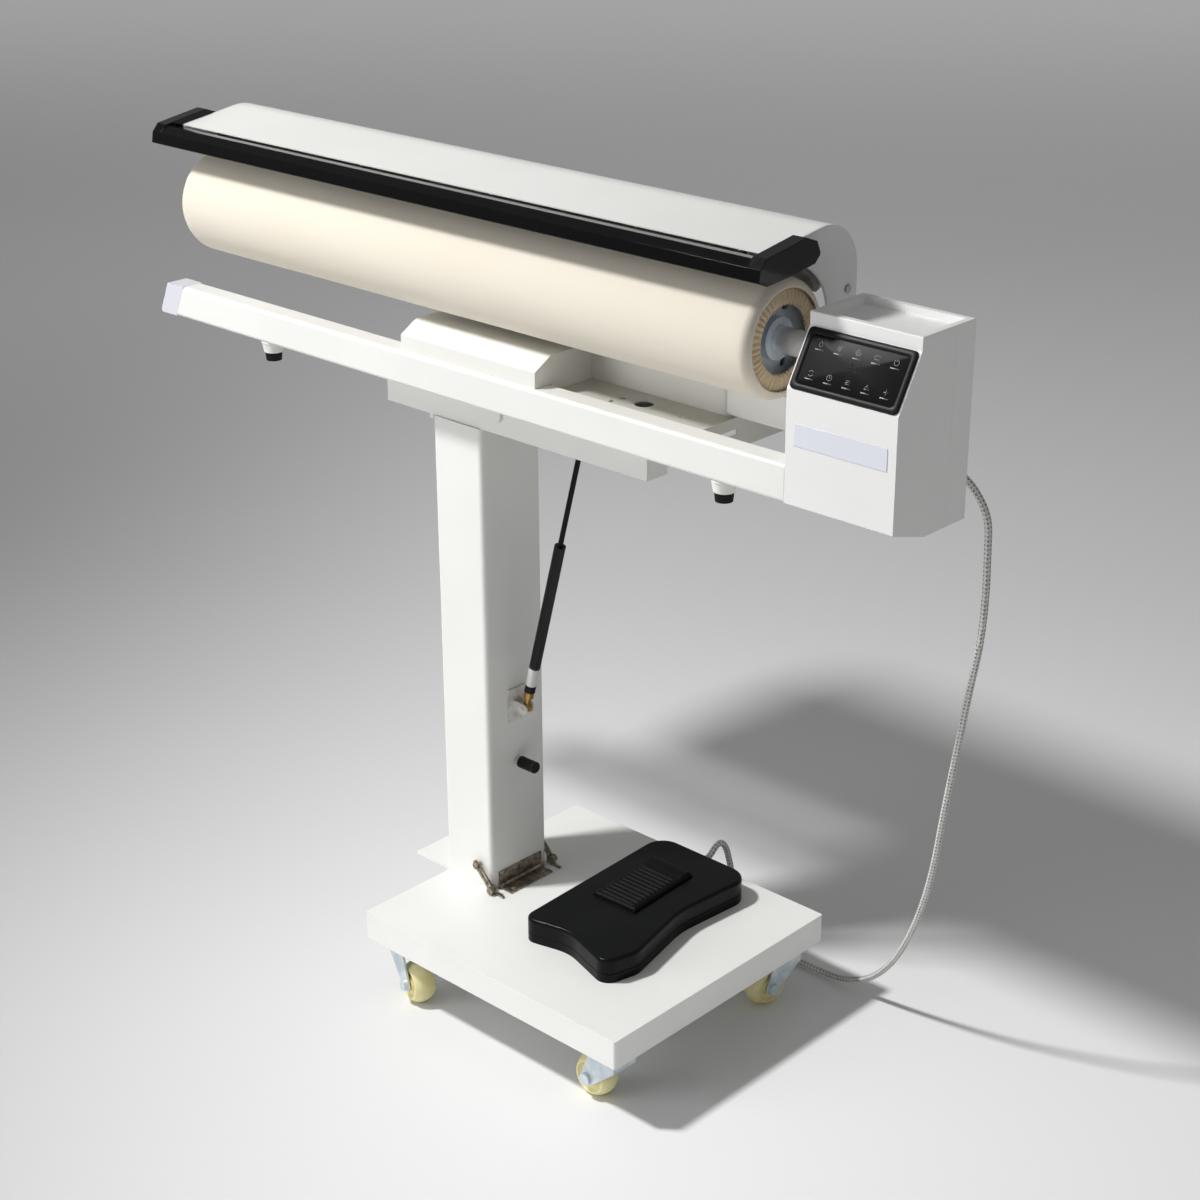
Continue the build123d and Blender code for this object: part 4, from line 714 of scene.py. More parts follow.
def tube_points(path: np.ndarray, side: np.ndarray, up: np.ndarray, radius: float, sides: int) -> np.ndarray:
    """Round tube with closed ends: path + r (cos t side + sin t up).

    Args:
        path: Rows of its centre line.
        side: Unit vector square to each point's direction.
        up: Unit vector square to both, or one for all.
        radius: Half its thickness.
        sides: Steps of the angle t round it.

    Returns:
        Grid of shape (len(path) + 2, sides, 3).
    """
    angle = np.linspace(0, FULL_TURN, sides, endpoint=False)
    ring = np.cos(angle)[:, None] * side[:, None] + np.sin(angle)[:, None] * up[..., None, :]
    return capped(path[:, None] + radius * ring, path)


def capped(rings: np.ndarray, path: np.ndarray) -> np.ndarray:
    """Rings along a path, with a ring drawn into the path's own point at each end.

    Args:
        rings: Grid with one row for each point of the path.
        path: Rows of the centre line.

    Returns:
        The grid with two more rows.
    """
    first, last = (np.broadcast_to(path[end], rings[:1].shape) for end in (0, -1))
    return np.concatenate([first, rings, last])


def arc(centre: Span, radius: float, start: float, end: float, steps: int) -> np.ndarray:
    """Rows of centre + radius (cos t, sin t), t from start to end in degrees."""
    angle = np.radians(np.linspace(start, end, steps))
    return np.array(centre) + radius * np.stack([np.cos(angle), np.sin(angle)], -1)


def distances(path: np.ndarray) -> np.ndarray:
    """Distance along a path, from 0, at each of its points."""
    return np.concatenate([[0.0], np.cumsum(np.linalg.norm(np.diff(path, axis=0), axis=1))])


def chart_of(along: np.ndarray, across: float, columns: int) -> np.ndarray:
    """UV grid with a row for each distance along, running from 0 to across in equal steps."""
    return np.stack(np.meshgrid(along, np.linspace(0, across, columns + 1), indexing="ij"), -1)


def rounded_outline(width: float, height: float, radius: float, steps: int = 8) -> np.ndarray:
    """Rectangle about the origin with round corners, counter-clockwise.

    Args:
        width: Full width.
        height: Full height.
        radius: Radius of the corners.
        steps: Points in each corner.

    Returns:
        Rows of (x, y).
    """
    x, y = width / 2 - radius, height / 2 - radius
    middles = ((x, y), (-x, y), (-x, -y), (x, -y))
    return np.concatenate([arc(middle, radius, 90 * turn, 90 * turn + 90, steps)
                           for turn, middle in enumerate(middles)])


@dataclass(frozen=True)
class Facet:
    """A flat place on the object, with its own axes, in metres."""

    origin: np.ndarray
    right: np.ndarray
    up: np.ndarray

    def place(self, flat: np.ndarray, height: np.ndarray | float) -> np.ndarray:
        """Points origin + x right + y up + height out.

        Args:
            flat: Rows of (x, y).
            height: Height above the facet, one for all or one for each row.

        Returns:
            Points in space.
        """
        out = np.cross(self.right, self.up)
        rise = np.broadcast_to(np.asarray(height, float), flat.shape[:-1])
        return self.origin + flat[..., :1] * self.right + flat[..., 1:2] * self.up + rise[..., None] * out

    def raised(self, height: float) -> "Facet":
        """The facet moved outwards."""
        return Facet(self.origin + height * np.cross(self.right, self.up), self.right, self.up)


def plate(name: str, facet: Facet, outline: np.ndarray, low: float, high: float, look: Look,
          slot: str, bevel: float = 0.0002) -> Piece:
    """Thin closed plate on a facet: rings of its outline, drawn in by a quarter circle at the top.

    Args:
        name: The piece's name.
        facet: Where it lies.
        outline: Convex outline about the facet's origin.
        low: Height of its underside.
        high: Height of its face.
        look: Its finish.
        slot: Not used.
        bevel: Radius of its top edge.

    Returns:
        The plate.
    """
    middle = outline.mean(0)
    reach = np.linalg.norm(outline - middle, axis=1, keepdims=True)
    rings, heights = [np.broadcast_to(middle, outline.shape), outline], [low, low]
    for angle in np.linspace(0, math.pi / 2, 4):
        drawn = middle + (outline - middle) * (1 - bevel * (1 - math.cos(angle)) / reach)
        rings.append(drawn)
        heights.append(high - bevel * (1 - math.sin(angle)))
    for share in (0.995, 0.97, 0.0):
        rings.append(middle + (drawn - middle) * share)
        heights.append(high)
    return grid_piece(name, facet.place(np.stack(rings), np.array(heights)[:, None]), look, slot)


def ribbon(facet: Facet, path: np.ndarray, width: float, height: float) -> np.ndarray:
    """Printed line on a facet, closed round its sides and ends.

    Each path point is moved by half the width along the path's own side direction.

    Args:
        facet: The printed face.
        path: Rows of (x, y).
        width: Width of the line.
        height: Its thickness.

    Returns:
        Grid of four points round the line for each path point and end.
    """
    ahead = np.gradient(path, axis=0)
    ahead /= np.linalg.norm(ahead, axis=1, keepdims=True) + 1e-12
    side = np.stack([-ahead[:, 1], ahead[:, 0]], -1) * width / 2
    rings = np.stack([path + side, path - side, path - side, path + side], 1)
    body = facet.place(rings, np.array([height, height, 0.0, 0.0]))
    return capped(body, body.mean(1))


# ==== Roller =================================================================
@dataclass
class Roller:
    """Roller's cotton cover, its gathered hem and the felt under it."""

    left: float = -0.487
    right: float = 0.373
    radius: float = 0.0595
    axis_y: float = -0.040
    axis_z: float = 0.866
    left_rounding: float = 0.024
    right_rounding: float = 0.0105
    segments: int = 230
    cloth: float = 0.0012
    flat_length: float = 0.92
    inset: float = 0.0003
    pull: float = 0.00012
    cross_pull: float = 0.0001
    gathers: int = 34
    gather_depth: float = 0.0005
    gather_reach: float = 0.012
    pleats: int = 46
    pleat_depth: float = 0.00022
    pleat_reach: float = 0.016
    pleat_steps: int = 12
    hem_outer: float = 0.0500
    hem_inner: float = 0.0345
    hem_overlap: float = 0.0012
    hem_inset: float = 0.0056
    hem_thickness: float = 0.0026
    hem_tilt: float = 0.0014
    hem_sides: int = 26
    crease: float = 0.0014
    frill: float = 0.0011
    scallop: float = 0.0012
    felt_core: float = 0.052
    felt_gap: float = 0.0006
    felt_end: float = 0.009
    felt_wall: float = 0.014
    felt_edge: float = 0.0012
    felt_segments: int = 96

    @property
    def centre(self) -> np.ndarray:
        """The axis's point where x is 0."""
        return np.array([0.0, self.axis_y, self.axis_z])

    def cover_profile(self) -> np.ndarray:
        """Profile of the cover, from the closed left pole to the hem.

        Returns:
            Rows of (x, r).
        """
        shoulder = self.radius - self.left_rounding
        left = arc((self.left + self.left_rounding, shoulder), self.left_rounding, 180, 90, 14)
        right = arc((self.right - self.right_rounding, self.radius - self.right_rounding),
                    self.right_rounding, 90, 8, 10)
        pole = np.linspace((self.left, 0.0), (self.left, shoulder), 5)
        run = np.linspace(left[-1], right[0], 60)[1:-1]
        return np.concatenate([pole[:-1], left, run, right, [[self.right - self.cloth, self.hem_outer]]])

    def build_cover(self) -> Piece:
        """Builds the cover: the profile turned about the axis, with a slow pull of the cloth.

        The radius changes by a fraction of a millimetre, a sin(3 t + 9 x) + b sin(7 t - 23 x), and
        fine pleats run in towards the hem. The closed end is gathered along x.

        Returns:
            The cover, riding on the roller.
        """
        profile = self.cover_profile()
        grid = turned_points(profile, self.centre, X_AXIS, self.segments)
        x = grid[..., 0]
        out = (grid - self.centre) * [0, 1, 1]
        angle = np.arctan2(out[..., 2], out[..., 1])
        distance = np.linalg.norm(out, axis=-1)
        near_hem = np.clip((x - self.right) / self.pleat_reach + 1, 0, 1) ** 2
        at_left = np.clip((self.left - x) / self.gather_reach + 1, 0, 1)
        slack = self.pull * np.sin(3 * angle + 9 * x) + self.cross_pull * np.sin(7 * angle - 23 * x)
        pleat = self.pleat_depth * near_hem * np.sin(self.pleats * angle + 0.7 * np.sin(5 * angle))
        gather = self.gather_depth * at_left * np.sin(self.gathers * angle + np.sin(4 * angle))
        body = np.clip(distance / self.radius, 0, 1)
        change = (slack - self.inset) * body + pleat
        grid = grid + out / np.maximum(distance, 1e-9)[..., None] * change[..., None]
        grid[..., 0] += np.where(distance > 0.004, gather, 0)
        chart = chart_of(distances(profile), FULL_TURN * self.radius, self.segments)
        cover = grid_piece("cotton_cover", grid, COTTON, "cotton", chart=chart)
        wall = cover.modifiers.new("wall", "SOLIDIFY")
        wall.thickness = self.cloth
        wall.offset = -1.0
        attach(cover, "roller")
        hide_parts("roller_cover")
        return cover

    def build_hem(self) -> Piece:
        """Builds the gathered hem: a flattened ring round the opening, folded into pleats.

        Its section is an ellipse with a tilt, from the cover's edge in to the disc. Each point
        moves by a pleat wave of the angle, whose depth and width change from fold to fold.

        Returns:
            The hem, riding on the roller.
        """
        rng = np.random.default_rng(SEED)
        segments = self.pleats * self.pleat_steps
        around = np.linspace(0, FULL_TURN, segments, endpoint=False)
        section = np.linspace(0, FULL_TURN, self.hem_sides, endpoint=False)
        s, t = np.meshgrid(section, around, indexing="ij")
        wander = sum(rng.uniform(0.2, 0.5) * np.sin(k * t + rng.uniform(0, 6.3)) for k in (2, 3, 5, 7))
        depth = 1 + 0.35 * np.sin(6 * t + rng.uniform(0, 6.3)) + 0.2 * np.sin(11 * t + rng.uniform(0, 6.3))
        fold = depth * (np.abs(np.sin((self.pleats * t + wander) / 2)) ** 0.7 * 2 - 1)
        middle = (self.hem_outer + self.hem_inner) / 2
        half = (self.hem_outer - self.hem_inner) / 2 + self.hem_overlap
        radius = (middle + half * np.cos(s) + self.frill * fold * np.clip(-np.cos(s), 0, 1)
                  + self.scallop * fold * np.clip(np.cos(s), 0, 1))
        x = (self.right - self.hem_inset + self.hem_thickness * np.sin(s)
             + self.crease * fold * np.clip(np.sin(s), 0, 1) - self.hem_tilt * np.cos(s))
        grid = np.stack([x, self.axis_y + radius * np.cos(t), self.axis_z + radius * np.sin(t)], -1)
        chart = chart_of(np.linspace(0, 4 * half, self.hem_sides + 1), FULL_TURN * middle, segments)
        hem = grid_piece("gathered_hem", grid, HEM, "cotton", chart=chart, wrap=(True, True))
        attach(hem, "roller")
        return hem

    def build_felt(self) -> Piece:
        """Builds the felt as a thick closed sleeve between the core and the cover.

        Its profile goes out over the left end, along outside, round the right end and back along
        the core, and is turned about the axis.

        Returns:
            The felt, riding on the roller.
        """
        gap = self.cloth + self.felt_gap
        outer = self.radius - gap
        end = self.right - self.felt_end
        left = arc((self.left + self.left_rounding, self.radius - self.left_rounding),
                   self.left_rounding - gap, 180, 90, 10)
        wall_x = self.left + self.felt_wall
        profile = np.concatenate([
            [[self.left + gap, 0.0], [self.left + gap, 0.02]], left,
            np.linspace((self.left + 0.03, outer), (end, outer), 30),
            [[end + 0.001, outer - self.felt_edge], [end + 0.001, self.felt_core + self.felt_edge],
             [end, self.felt_core]],
            np.linspace((end, self.felt_core), (wall_x, self.felt_core), 8)[1:],
            [[wall_x, 0.0]]])
        grid = turned_points(profile, self.centre, X_AXIS, self.felt_segments)
        chart = chart_of(distances(profile), FULL_TURN * outer, self.felt_segments)
        felt = grid_piece("felt_sleeve", grid, FELT, "felt", chart=chart)
        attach(felt, "roller")
        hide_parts("roller_padding")
        return felt

    def build(self) -> None:
        felt = self.build_felt()
        cover = self.build_cover()
        hem = self.build_hem()


# ==== Pedal ==================================================================
@dataclass
class Treadle:
    """Raised ribbed pad on the pedal's treadle, and the coil spring under it.

    Corners are (x, y) of the pad in millimetres, all else is in metres.
    """

    corners: tuple[Span, ...] = ((87.8, -7.2), (150.2, -5.2), (144.2, 101.0), (82.8, 104.0))
    width: float = 0.062
    length: float = 0.108
    floor: float = 0.1368
    rise: float = 0.0052
    edge: float = 0.0035
    rib_rise: float = 0.0017
    rib_pitch: float = 0.0072
    rib_start: float = 0.002
    rib_end: float = 0.078
    rib_margin: float = 0.004
    hump_rise: float = 0.0022
    hump_y: float = 0.092
    hump_half: float = 0.011
    hump_margin: float = 0.003
    spring_foot: Point = (0.11625, 0.010, 0.1095)
    spring_height: float = 0.0225
    spring_radius: float = 0.0050
    spring_wire: float = 0.0007
    spring_turns: float = 6.0
    spring_steps: int = 28
    spring_flat: float = 0.12
    spring_keep: float = 0.67

    def build_spring(self) -> None:
        """Builds the coil spring under the treadle, fixed to the base.

        Its centre line is foot + (r cos a, r sin a, rise), where rise grows evenly with the angle
        a but nearly stops over the first and last coils, which lie flat.
        """
        turn = np.linspace(0, FULL_TURN * self.spring_turns, int(self.spring_turns * self.spring_steps))
        share = turn / turn[-1]
        climb = np.clip((share - self.spring_flat) / (1 - 2 * self.spring_flat), 0, 1)
        start = np.clip(share / self.spring_flat, 0, 1)
        rise = (climb * (self.spring_height - 4 * self.spring_wire)
                + 0.98 * self.spring_wire * (1 + 2 * start))
        radial = np.stack([np.cos(turn), np.sin(turn), 0 * turn], -1)
        path = np.array(self.spring_foot) + self.spring_radius * radial + rise[:, None] * Z_AXIS
        grid = tube_points(path, radial, Z_AXIS, self.spring_wire, 10)
        spring = grid_piece("treadle_spring", grid, BRIGHT_STEEL, "spring_steel")
        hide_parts("pedal_spring")
        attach(spring, "base")
        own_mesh(spring)

    def build_pad(self) -> None:
        """Builds the pad.

        A point goes from side to side by s and from front to back by t, between the four corners.
        Its height is rise times a rounded edge step, plus a rib wave (1 + cos) / 2 to the power 0.6
        over the ribbed part, and a low hump behind the ribs.
        """
        rim = 10 * self.edge * (0.5 - 0.5 * np.cos(np.linspace(0, math.pi, 7)))
        side_rim = 1.7 * rim
        s_line = np.concatenate([side_rim, np.linspace(0.1, 0.9, 20), 1 - side_rim[::-1]])
        t_line = np.concatenate([rim, np.linspace(0.05, 0.95, 150), 1 - rim[::-1]])
        s, t = np.meshgrid(s_line, t_line, indexing="ij")
        front_left, front_right, back_right, back_left = np.array(self.corners) / 1000
        across, along = s[..., None], t[..., None]
        flat = ((1 - along) * ((1 - across) * front_left + across * front_right)
                + along * (across * back_right + (1 - across) * back_left))
        y = flat[..., 1]
        from_side = np.minimum(s, 1 - s) * self.width
        from_end = np.minimum(t, 1 - t) * self.length
        inside = np.clip(np.minimum(from_side, from_end) / self.edge, 0, 1)
        step = np.sqrt(1 - (1 - inside) ** 2)
        wave = (0.5 + 0.5 * np.cos(FULL_TURN * (y - self.rib_start) / self.rib_pitch)) ** 0.6
        ribbed = ((y > self.rib_start - self.rib_pitch / 2) & (y < self.rib_end)
                  & (from_side > self.rib_margin))
        hump = np.clip(1 - ((y - self.hump_y) / self.hump_half) ** 2, 0, 1) * (from_side > self.hump_margin)
        top = self.floor + step * (self.rise + ribbed * wave * self.rib_rise) + self.hump_rise * hump
        upper = np.concatenate([flat, top[..., None]], -1)
        lower = np.concatenate([flat, np.full_like(top, self.floor)[..., None]], -1)
        pad = grid_piece("treadle_pad", np.concatenate([upper, lower[::-1]]), PAD_RUBBER, "black_plastic",
                         wrap=(True, False), merge=2e-5)
        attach(pad, "treadle")

    def build(self) -> None:
        """Builds the spring and the pad."""
        self.build_spring()
        self.build_pad()


# ==== Control panel ==========================================================
class Icon(Enum):
    """Plain marks printed on the control panel's keys."""

    DROP = "drop"
    WAVES = "waves"
    ROUND = "round"
    SQUARE = "square"
    POWER = "power"
    ARROWS = "arrows"
    CLOCK = "clock"
    LINES = "lines"
    TRIANGLE = "triangle"
    PLUS = "plus"

    def strokes(self, size: float) -> list[np.ndarray]:
        """Lines of the mark about its own middle.

        Args:
            size: Half its width, in metres.

        Returns:
            Rows of (x, y) for each line.
        """
        ring = arc((0, 0), 1, 0, 360, 20)
        bar = np.linspace((-1, 0), (1, 0), 3)
        swell = np.stack([np.linspace(-1, 1, 14), 0.25 * np.sin(np.linspace(0, 9, 14))], -1)
        marks = {
            Icon.DROP: [np.concatenate([[[0, 1]], arc((0, -0.3), 0.7, 20, -200, 14), [[0, 1]]])],
            Icon.WAVES: [swell + [0, rise] for rise in (-0.6, 0.0, 0.6)],
            Icon.ROUND: [ring, 0.45 * ring],
            Icon.SQUARE: [np.array([[-1, -0.7], [1, -0.7], [1, 0.7], [-1, 0.7], [-1, -0.7]])],
            Icon.POWER: [arc((0, 0), 1, 125, 415, 18), np.linspace((0, 0.2), (0, 1.2), 3)],
            Icon.ARROWS: [arc((0, 0), 1, 30, 160, 10), arc((0, 0), 1, 210, 340, 10)],
            Icon.CLOCK: [ring, np.array([[0, 0.6], [0, 0], [0.45, 0]])],
            Icon.LINES: [bar + [0, rise] for rise in (-0.6, 0.0, 0.6)],
            Icon.TRIANGLE: [np.array([[-1, -0.7], [1, -0.7], [0, 0.9], [-1, -0.7]])],
            Icon.PLUS: [bar, bar[:, ::-1]],
        }
        return [size * line for line in marks[self]]


@dataclass
class ControlBox:
    """Printed panel and bare strip of the control box."""

    left: float = 0.4142
    right: float = 0.54075
    front: float = -0.0894
    slope_top_y: float = -0.0577
    slope_foot_z: float = 0.840
    slope_head_z: float = 0.894
    panel_width: float = 0.12255
    panel_height: float = 0.0606
    panel_corner: float = 0.0048
    panel_face: float = 0.001
    frame_width: float = 0.0066
    frame_section: tuple[Span, ...] = ((0.0, 0.0), (0.0, 0.0006), (0.0007, 0.0012), (0.0040, 0.0015),
                                       (frame_width - 0.0012, 0.0012), (frame_width, 0.0003),
                                       (frame_width, 0.0))
    window_face: float = 0.0004
    window_corner: float = 0.003
    column_pitch: float = 0.0212
    row_rise: Span = (0.0158, -0.0126)
    icon_size: float = 0.0027
    line_width: float = 0.00042
    print_height: float = 0.00012
    bar_half: float = 0.0048
    bar_drop: float = 0.0056
    bar_width: float = 0.0010
    digit_middle: Span = (0.001, 0.001)
    digit_offset: float = 0.0042
    digit_half: Span = (0.0022, 0.0034)
    digit_width: float = 0.0006
    digits: tuple[str, str] = ("acdefg", "abcdef")
    strip_x: Span = (0.4245, 0.531)
    strip_z: Span = (0.7865, 0.8085)
    strip_low: float = -0.0003
    strip_high: float = 0.0005

    def panel_facet(self) -> Facet:
        """The panel's outer face on the box's sloped front.

        Returns:
            The facet.
        """
        foot = np.array([0.0, self.front, self.slope_foot_z])
        head = np.array([0.0, self.slope_top_y, self.slope_head_z])
        up = (head - foot) / np.linalg.norm(head - foot)
        middle = (foot + head + X_AXIS * (self.left + self.right)) / 2
        return Facet(middle, X_AXIS, up).raised(self.panel_face)

    def build_window(self, facet: Facet) -> None:
        """Builds the raised frame and the dark window inside it.

        The frame's section, rows of (inwards, height), is a low arch carried round the rounded
        rectangle.

        Args:
            facet: The panel's outer face.
        """
        size = np.array([self.panel_width, self.panel_height])
        outer = rounded_outline(*(size - 0.0004), self.panel_corner)
        rings = np.stack([outer * (1 - 2 * inwards / size) for inwards, _ in self.frame_section])
        heights = np.array([height for _, height in self.frame_section])[:, None]
        ring = grid_piece("panel_frame", facet.place(rings, heights), PANEL_FRAME, "black_gloss",
                          wrap=(True, True))
        window = plate("panel_window", facet, rounded_outline(*(size - 2 * self.frame_width),
                                                              self.window_corner),
                       0.0, self.window_face, PANEL_GLASS, "black_gloss")
        for piece in (ring, window):
            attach(piece, "head")

    def build_marks(self, facet: Facet) -> None:
        """Builds two rows of key marks with a bar under each, and two digits between them.

        Args:
            facet: The window's face.
        """
        bar = np.linspace((-self.bar_half, -self.bar_drop), (self.bar_half, -self.bar_drop), 3)
        printed: list[np.ndarray] = []
        for number, icon in enumerate(Icon):
            centre = np.array([(number % 5 - 2) * self.column_pitch, self.row_rise[number // 5]])
            printed += [ribbon(facet, line + centre, self.line_width, self.print_height)
                        for line in icon.strokes(self.icon_size)]
            printed.append(ribbon(facet, bar + centre, self.bar_width, self.print_height))
        lit: list[np.ndarray] = []
        for side, segments in zip((-1, 1), self.digits):
            centre = np.array(self.digit_middle) + [side * self.digit_offset, 0.0]
            lit += self.digit(facet, centre, segments)
        for name, grids, look in (("panel_marks", printed, PANEL_PRINT), ("panel_digits", lit, PANEL_DIGIT)):
            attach(joined_piece(name, grids, look), "head")

    def digit(self, facet: Facet, centre: np.ndarray, segments: str) -> list[np.ndarray]:
        """Lines of one seven-segment digit.

        Args:
            facet: The printed face.
            centre: Middle of the digit, in metres.
            segments: Letters a to g of the segments that show.

        Returns:
            Grid of each line.
        """
        w, h = self.digit_half
        ends = {"a": ((-w, h), (w, h)), "b": ((w, h), (w, 0)), "c": ((w, 0), (w, -h)),
                "d": ((-w, -h), (w, -h)), "e": ((-w, 0), (-w, -h)), "f": ((-w, h), (-w, 0)),
                "g": ((-w, 0), (w, 0))}
        return [ribbon(facet, np.linspace(*ends[name], 3) * 0.92 + centre, self.digit_width,
                       self.print_height) for name in segments]

    def build_strip(self) -> None:
        """Builds the bare pale strip on the box's upright front."""
        (low_x, high_x), (low_z, high_z) = self.strip_x, self.strip_z
        facet = Facet(np.array([(low_x + high_x) / 2, self.front, (low_z + high_z) / 2]), X_AXIS, Z_AXIS)
        outline = rounded_outline(high_x - low_x, high_z - low_z, 0.0008, 4)
        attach(plate("front_strip", facet, outline, self.strip_low, self.strip_high, STRIP_PLASTIC,
                      "lavender_plastic"), "head")

    def build(self) -> None:
        """Builds everything on the box."""
        facet = self.panel_facet()
        self.build_window(facet)
        self.build_marks(facet.raised(self.window_face))
        self.build_strip()


# ==== Cables =================================================================
@dataclass
class Cables:
    """The braided control cable: two free runs from the box to the floor, and one to the pedal.

    Routes are in millimetres.
    """

    diameter: float = 0.0075
    join_height: float = 0.546
    sides: int = 14
    free_points: int = 30

    BOX_ROUTE = ((497, 39.9, 742), (497, 54.9, 742), (501, 71.9, 735), (510, 86.9, 716),
                 (521.64, 95.44, 687), (521, 98, 655), (519.96, 102.16, 603), (514, 107, 546),
                 (500, 114, 488), (488, 120, 428), (475, 127, 368), (463, 134, 309), (451, 142, 251),
                 (434, 152, 196), (413, 163, 145), (387, 177, 98), (358, 190, 58), (326, 200, 28),
                 (290, 206, 10), (252, 207, 6.5), (214, 207, 6.5))
    PEDAL_ROUTE = ((184, 207, 6.5), (164, 207, 6.5), (147, 207, 15), (133, 205, 38), (124, 203, 72),
                   (118, 201, 104), (116, 196, 126), (116.5, 186, 138), (117, 175, 137), (118, 166, 130.5),
                   (118, 160, 128), (118, 151, 128))

    @staticmethod
    def followed(route: tuple[Point, ...]) -> np.ndarray:
        """Smooth line, a spline of the third order, that a route's points control.

        Args:
            route: Control points, in millimetres.

        Returns:
            Rows of points along the line, in metres.
        """
        curve = bpy.data.curves.new("route", "CURVE")
        curve.dimensions = "3D"
        spline = curve.splines.new("NURBS")
        spline.points.add(len(route) - 1)
        places = np.column_stack([np.array(route, float) / 1000, np.ones(len(route))])
        spline.points.foreach_set("co", places.ravel())
        spline.order_u = 3
        spline.use_endpoint_u = True
        spline.resolution_u = 12
        holder = bpy.data.objects.new("route", curve)
        mesh = bpy.data.meshes.new_from_object(holder)
        line = np.zeros(3 * len(mesh.vertices))
        mesh.vertices.foreach_get("co", line)
        bpy.data.objects.remove(holder)
        bpy.data.meshes.remove(mesh)
        return line.reshape(-1, 3)

    def tube(self, name: str, path: np.ndarray, across: Point, start: float = 0.0) -> Piece:
        """Round tube along a path, whose side direction is tangent x across.

        Args:
            name: The piece's name.
            path: Centre line.
            across: Direction that the path never points along.
            start: Length of cable before this path, so that the braid runs on.

        Returns:
            The closed tube.
        """
        tangent = np.gradient(path, axis=0)
        tangent /= np.linalg.norm(tangent, axis=1, keepdims=True)
        side = np.cross(tangent, np.array(across))
        side /= np.linalg.norm(side, axis=1, keepdims=True)
        grid = tube_points(path, side, np.cross(side, tangent), self.diameter / 2, self.sides)
        length = start + distances(path)
        chart = chart_of(np.concatenate([length[:1], length, length[-1:]]), 1, self.sides)
        return grid_piece(name, grid, BRAID, "cable_braid", chart=chart)

    def build(self) -> None:
        """Builds the cables, bakes the two free runs where they lie, and puts the pedal run on the base."""
        whole = self.followed(self.BOX_ROUTE)
        cut = int(np.argmin(np.abs(whole[:, 2] - self.join_height)))
        upper_path, lower_path = whole[: cut + 1], whole[cut:]
        entry = self.followed(self.PEDAL_ROUTE)
        upper_length, lower_length, pedal_length = (float(distances(path)[-1])
                                                    for path in (upper_path, lower_path, entry))
        upper = self.tube("box_cable_top", upper_path, (1.0, 0.0, 0.0))
        lower = self.tube("box_cable_fall", lower_path, (0.0, 1.0, 0.0), upper_length)
        pedal = self.tube("pedal_cable_run", entry, (0.7071, -0.7071, 0.0))
        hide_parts("box_cable_upper")
        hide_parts("box_cable_lower")
        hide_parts("pedal_cable")
        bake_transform(upper)
        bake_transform(lower)
        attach(pedal, "base")


# ==== Studio =================================================================
def placed(item: Piece, right: np.ndarray, up: np.ndarray, back: np.ndarray, at: Point) -> None:
    """Links a camera or light into the scene, and turns it to its own three directions.

    Args:
        item: The camera or light.
        right: Its own right.
        up: Its own up.
        back: The direction behind it.
        at: Its place, in metres.
    """
    bpy.context.scene.collection.objects.link(item)
    matrix = np.eye(4)
    matrix[:3] = np.column_stack([right, up, back, at])
    item.matrix_world = Matrix(matrix.tolist())


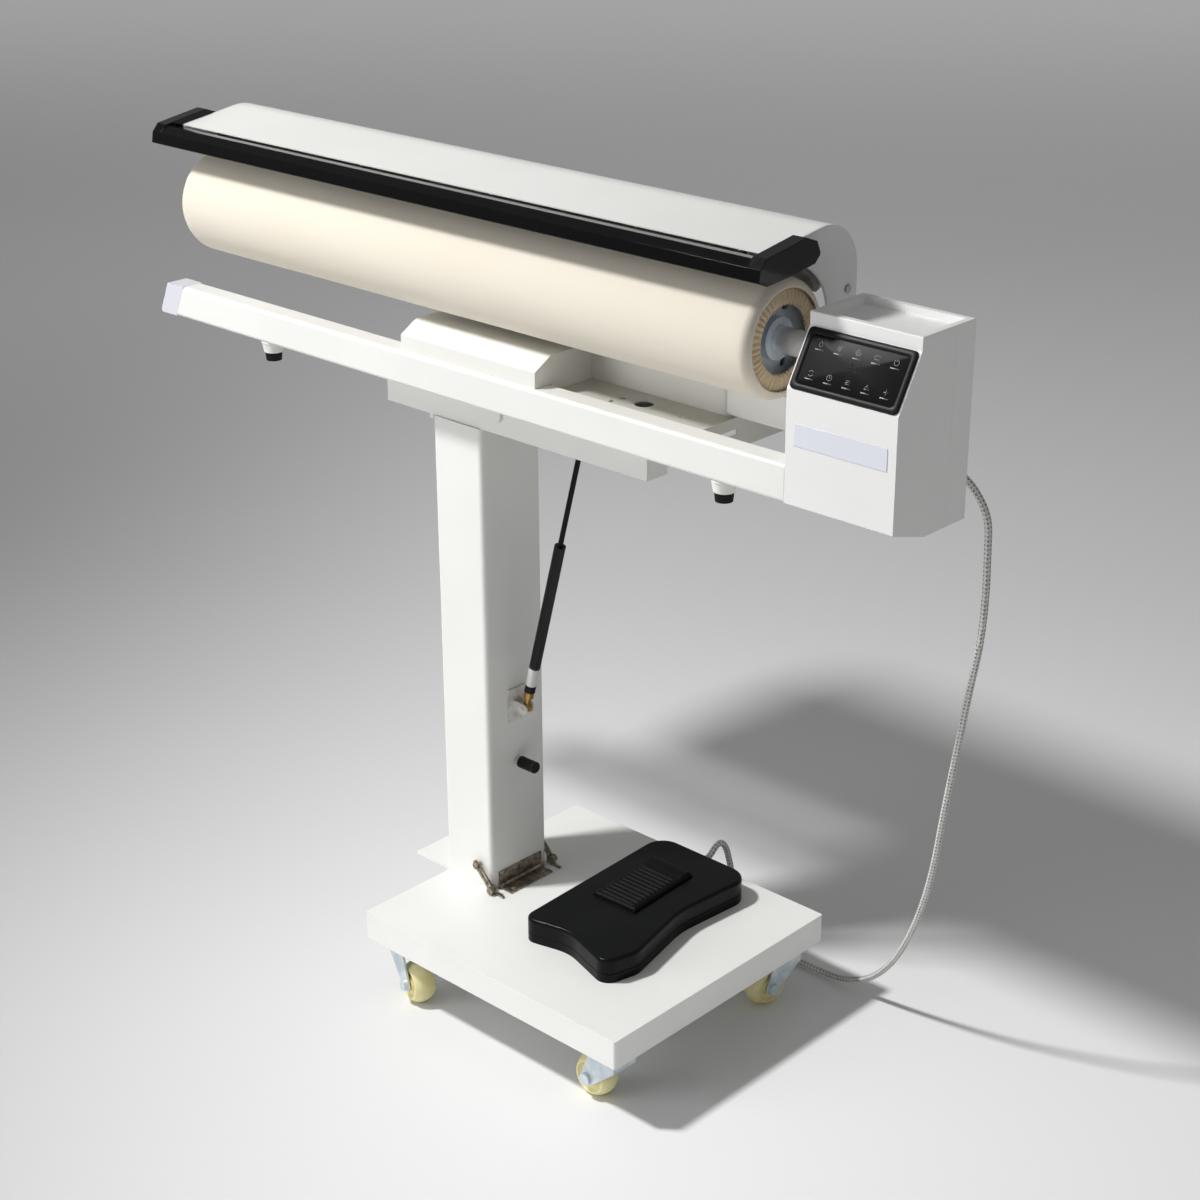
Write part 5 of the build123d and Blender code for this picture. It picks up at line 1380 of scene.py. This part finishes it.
@dataclass
class Studio:
    """Camera, lights, world and floor."""

    azimuth: float = 43.23
    elevation: float = 23.3
    roll: float = -0.28
    focal_pixels: float = 2306.23
    frame_pixels: float = 1200.0
    sensor: float = 36.0
    camera_at: Point = (1.6741, -1.6816, 1.5002)
    aim: Point = (0.05, 0.0, 0.5)
    key_at: Point = (-0.77, -0.95, 2.07)
    key_power: float = 8.8
    key_even: float = 0.5
    key_near: float = 1.0
    key_size: float = 0.22
    fill_at: Point = (-1.5, -3.0, 1.0)
    fill_power: float = 39.0
    fill_size: float = 2.2
    ambient: float = 0.235
    backdrop: float = 0.25
    floor_reach: float = 40.0

    def place_camera(self) -> None:
        """Places the camera: back = (sin a cos e, -cos a cos e, sin e), then rolled about it."""
        a, e, r = (math.radians(angle) for angle in (self.azimuth, self.elevation, self.roll))
        back = np.array([math.sin(a) * math.cos(e), -math.cos(a) * math.cos(e), math.sin(e)])
        right = np.array([math.cos(a), math.sin(a), 0.0])
        up = np.cross(back, right)
        data = bpy.data.cameras.new("camera")
        data.sensor_fit = "HORIZONTAL"
        data.sensor_width = self.sensor
        data.lens = self.sensor * self.focal_pixels / self.frame_pixels
        camera = bpy.data.objects.new("camera", data)
        placed(camera, math.cos(r) * right + math.sin(r) * up, -math.sin(r) * right + math.cos(r) * up,
               back, self.camera_at)
        bpy.context.scene.camera = camera

    def area_light(self, name: str, at: Point, power: float, size: float, even: bool) -> None:
        """Adds a disc light aimed at the machine's middle.

        Args:
            name: The light's name.
            at: Its place, in metres.
            power: Its power.
            size: Its width, in metres.
            even: Whether it keeps most of its strength over distance and shows in reflections.
        """
        data = bpy.data.lights.new(name, "AREA")
        data.shape = "DISK"
        data.size = size
        data.energy = power
        if even:
            data.use_nodes = True
            tree = Tree(data.node_tree)
            falloff = tree.node("LightFalloff", {"Strength": 1.0}).outputs
            steady = tree.math("MULTIPLY", falloff["Constant"], self.key_even)
            nearer = tree.math("MULTIPLY", falloff["Linear"], self.key_near)
            tree.fill(data.node_tree.nodes["Emission"], {"Strength": tree.math("ADD", steady, nearer)})
        light = bpy.data.objects.new(name, data)
        light.visible_glossy = even
        back = np.array(at) - np.array(self.aim)
        back /= np.linalg.norm(back)
        placed(light, *sides_of(back), back, at)

    def build_world(self) -> None:
        """Builds soft light from all round, and a plain grey that mirrors and the camera see."""
        world = bpy.data.worlds.new("studio")
        bpy.context.scene.world = world
        world.use_nodes = True
        world.node_tree.nodes.clear()
        tree = Tree(world.node_tree)
        soft, seen = (tree.node("Background", {"Color": (grey, grey, grey, 1.0), "Strength": 1.0}).outputs[0]
                      for grey in (self.ambient, self.backdrop))
        rays = tree.node("LightPath").outputs
        direct = tree.math("MAXIMUM", rays["Is Camera Ray"], rays["Is Glossy Ray"])
        mixed = tree.node("MixShader", {0: direct, 1: soft, 2: seen}).outputs[0]
        tree.node("OutputWorld", {"Surface": mixed})

    def build_floor(self) -> None:
        """Builds the floor, a wide flat disc: r (cos t, sin t, 0)."""
        radii = np.concatenate([[0.0], np.geomspace(0.4, self.floor_reach, 24)])[:, None]
        angle = np.linspace(0, FULL_TURN, 64, endpoint=False)
        grid = np.stack([radii * np.cos(angle), radii * np.sin(angle), 0 * radii * angle], -1)
        floor = grid_piece("studio_floor", grid, FloorPaper("studio_floor"), "white_paint", merge=0.0)

    def build(self) -> None:
        """Sets up the whole studio."""
        bpy.context.scene.view_settings.view_transform = "Standard"
        self.place_camera()
        self.area_light("key", self.key_at, self.key_power, self.key_size, even=True)
        self.area_light("fill", self.fill_at, self.fill_power, self.fill_size, even=False)
        self.build_world()
        self.build_floor()


def dress_nodes() -> None:
    """Gives each construction node its finish."""
    for look, names in NODE_FINISHES.items():
        for name in names:
            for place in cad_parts[name].material_slots:
                place.material = look.material()
        log.info("%s: %s", look.name, ", ".join(names))


def corners(box: tuple) -> list[list[float]]:
    """A box's two corners as plain lists."""
    return [[float(value) for value in corner] for corner in box]


def main() -> None:
    """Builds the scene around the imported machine."""
    logging.basicConfig(level=logging.INFO, format="%(name)s %(message)s")
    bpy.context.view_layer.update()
    for part in (Studio(), Cables(), Roller(), Treadle(), ControlBox()):
        log.info("building: %s", type(part).__name__)
        part.build()
    dress_nodes()


if __name__ == "__main__":
    main()
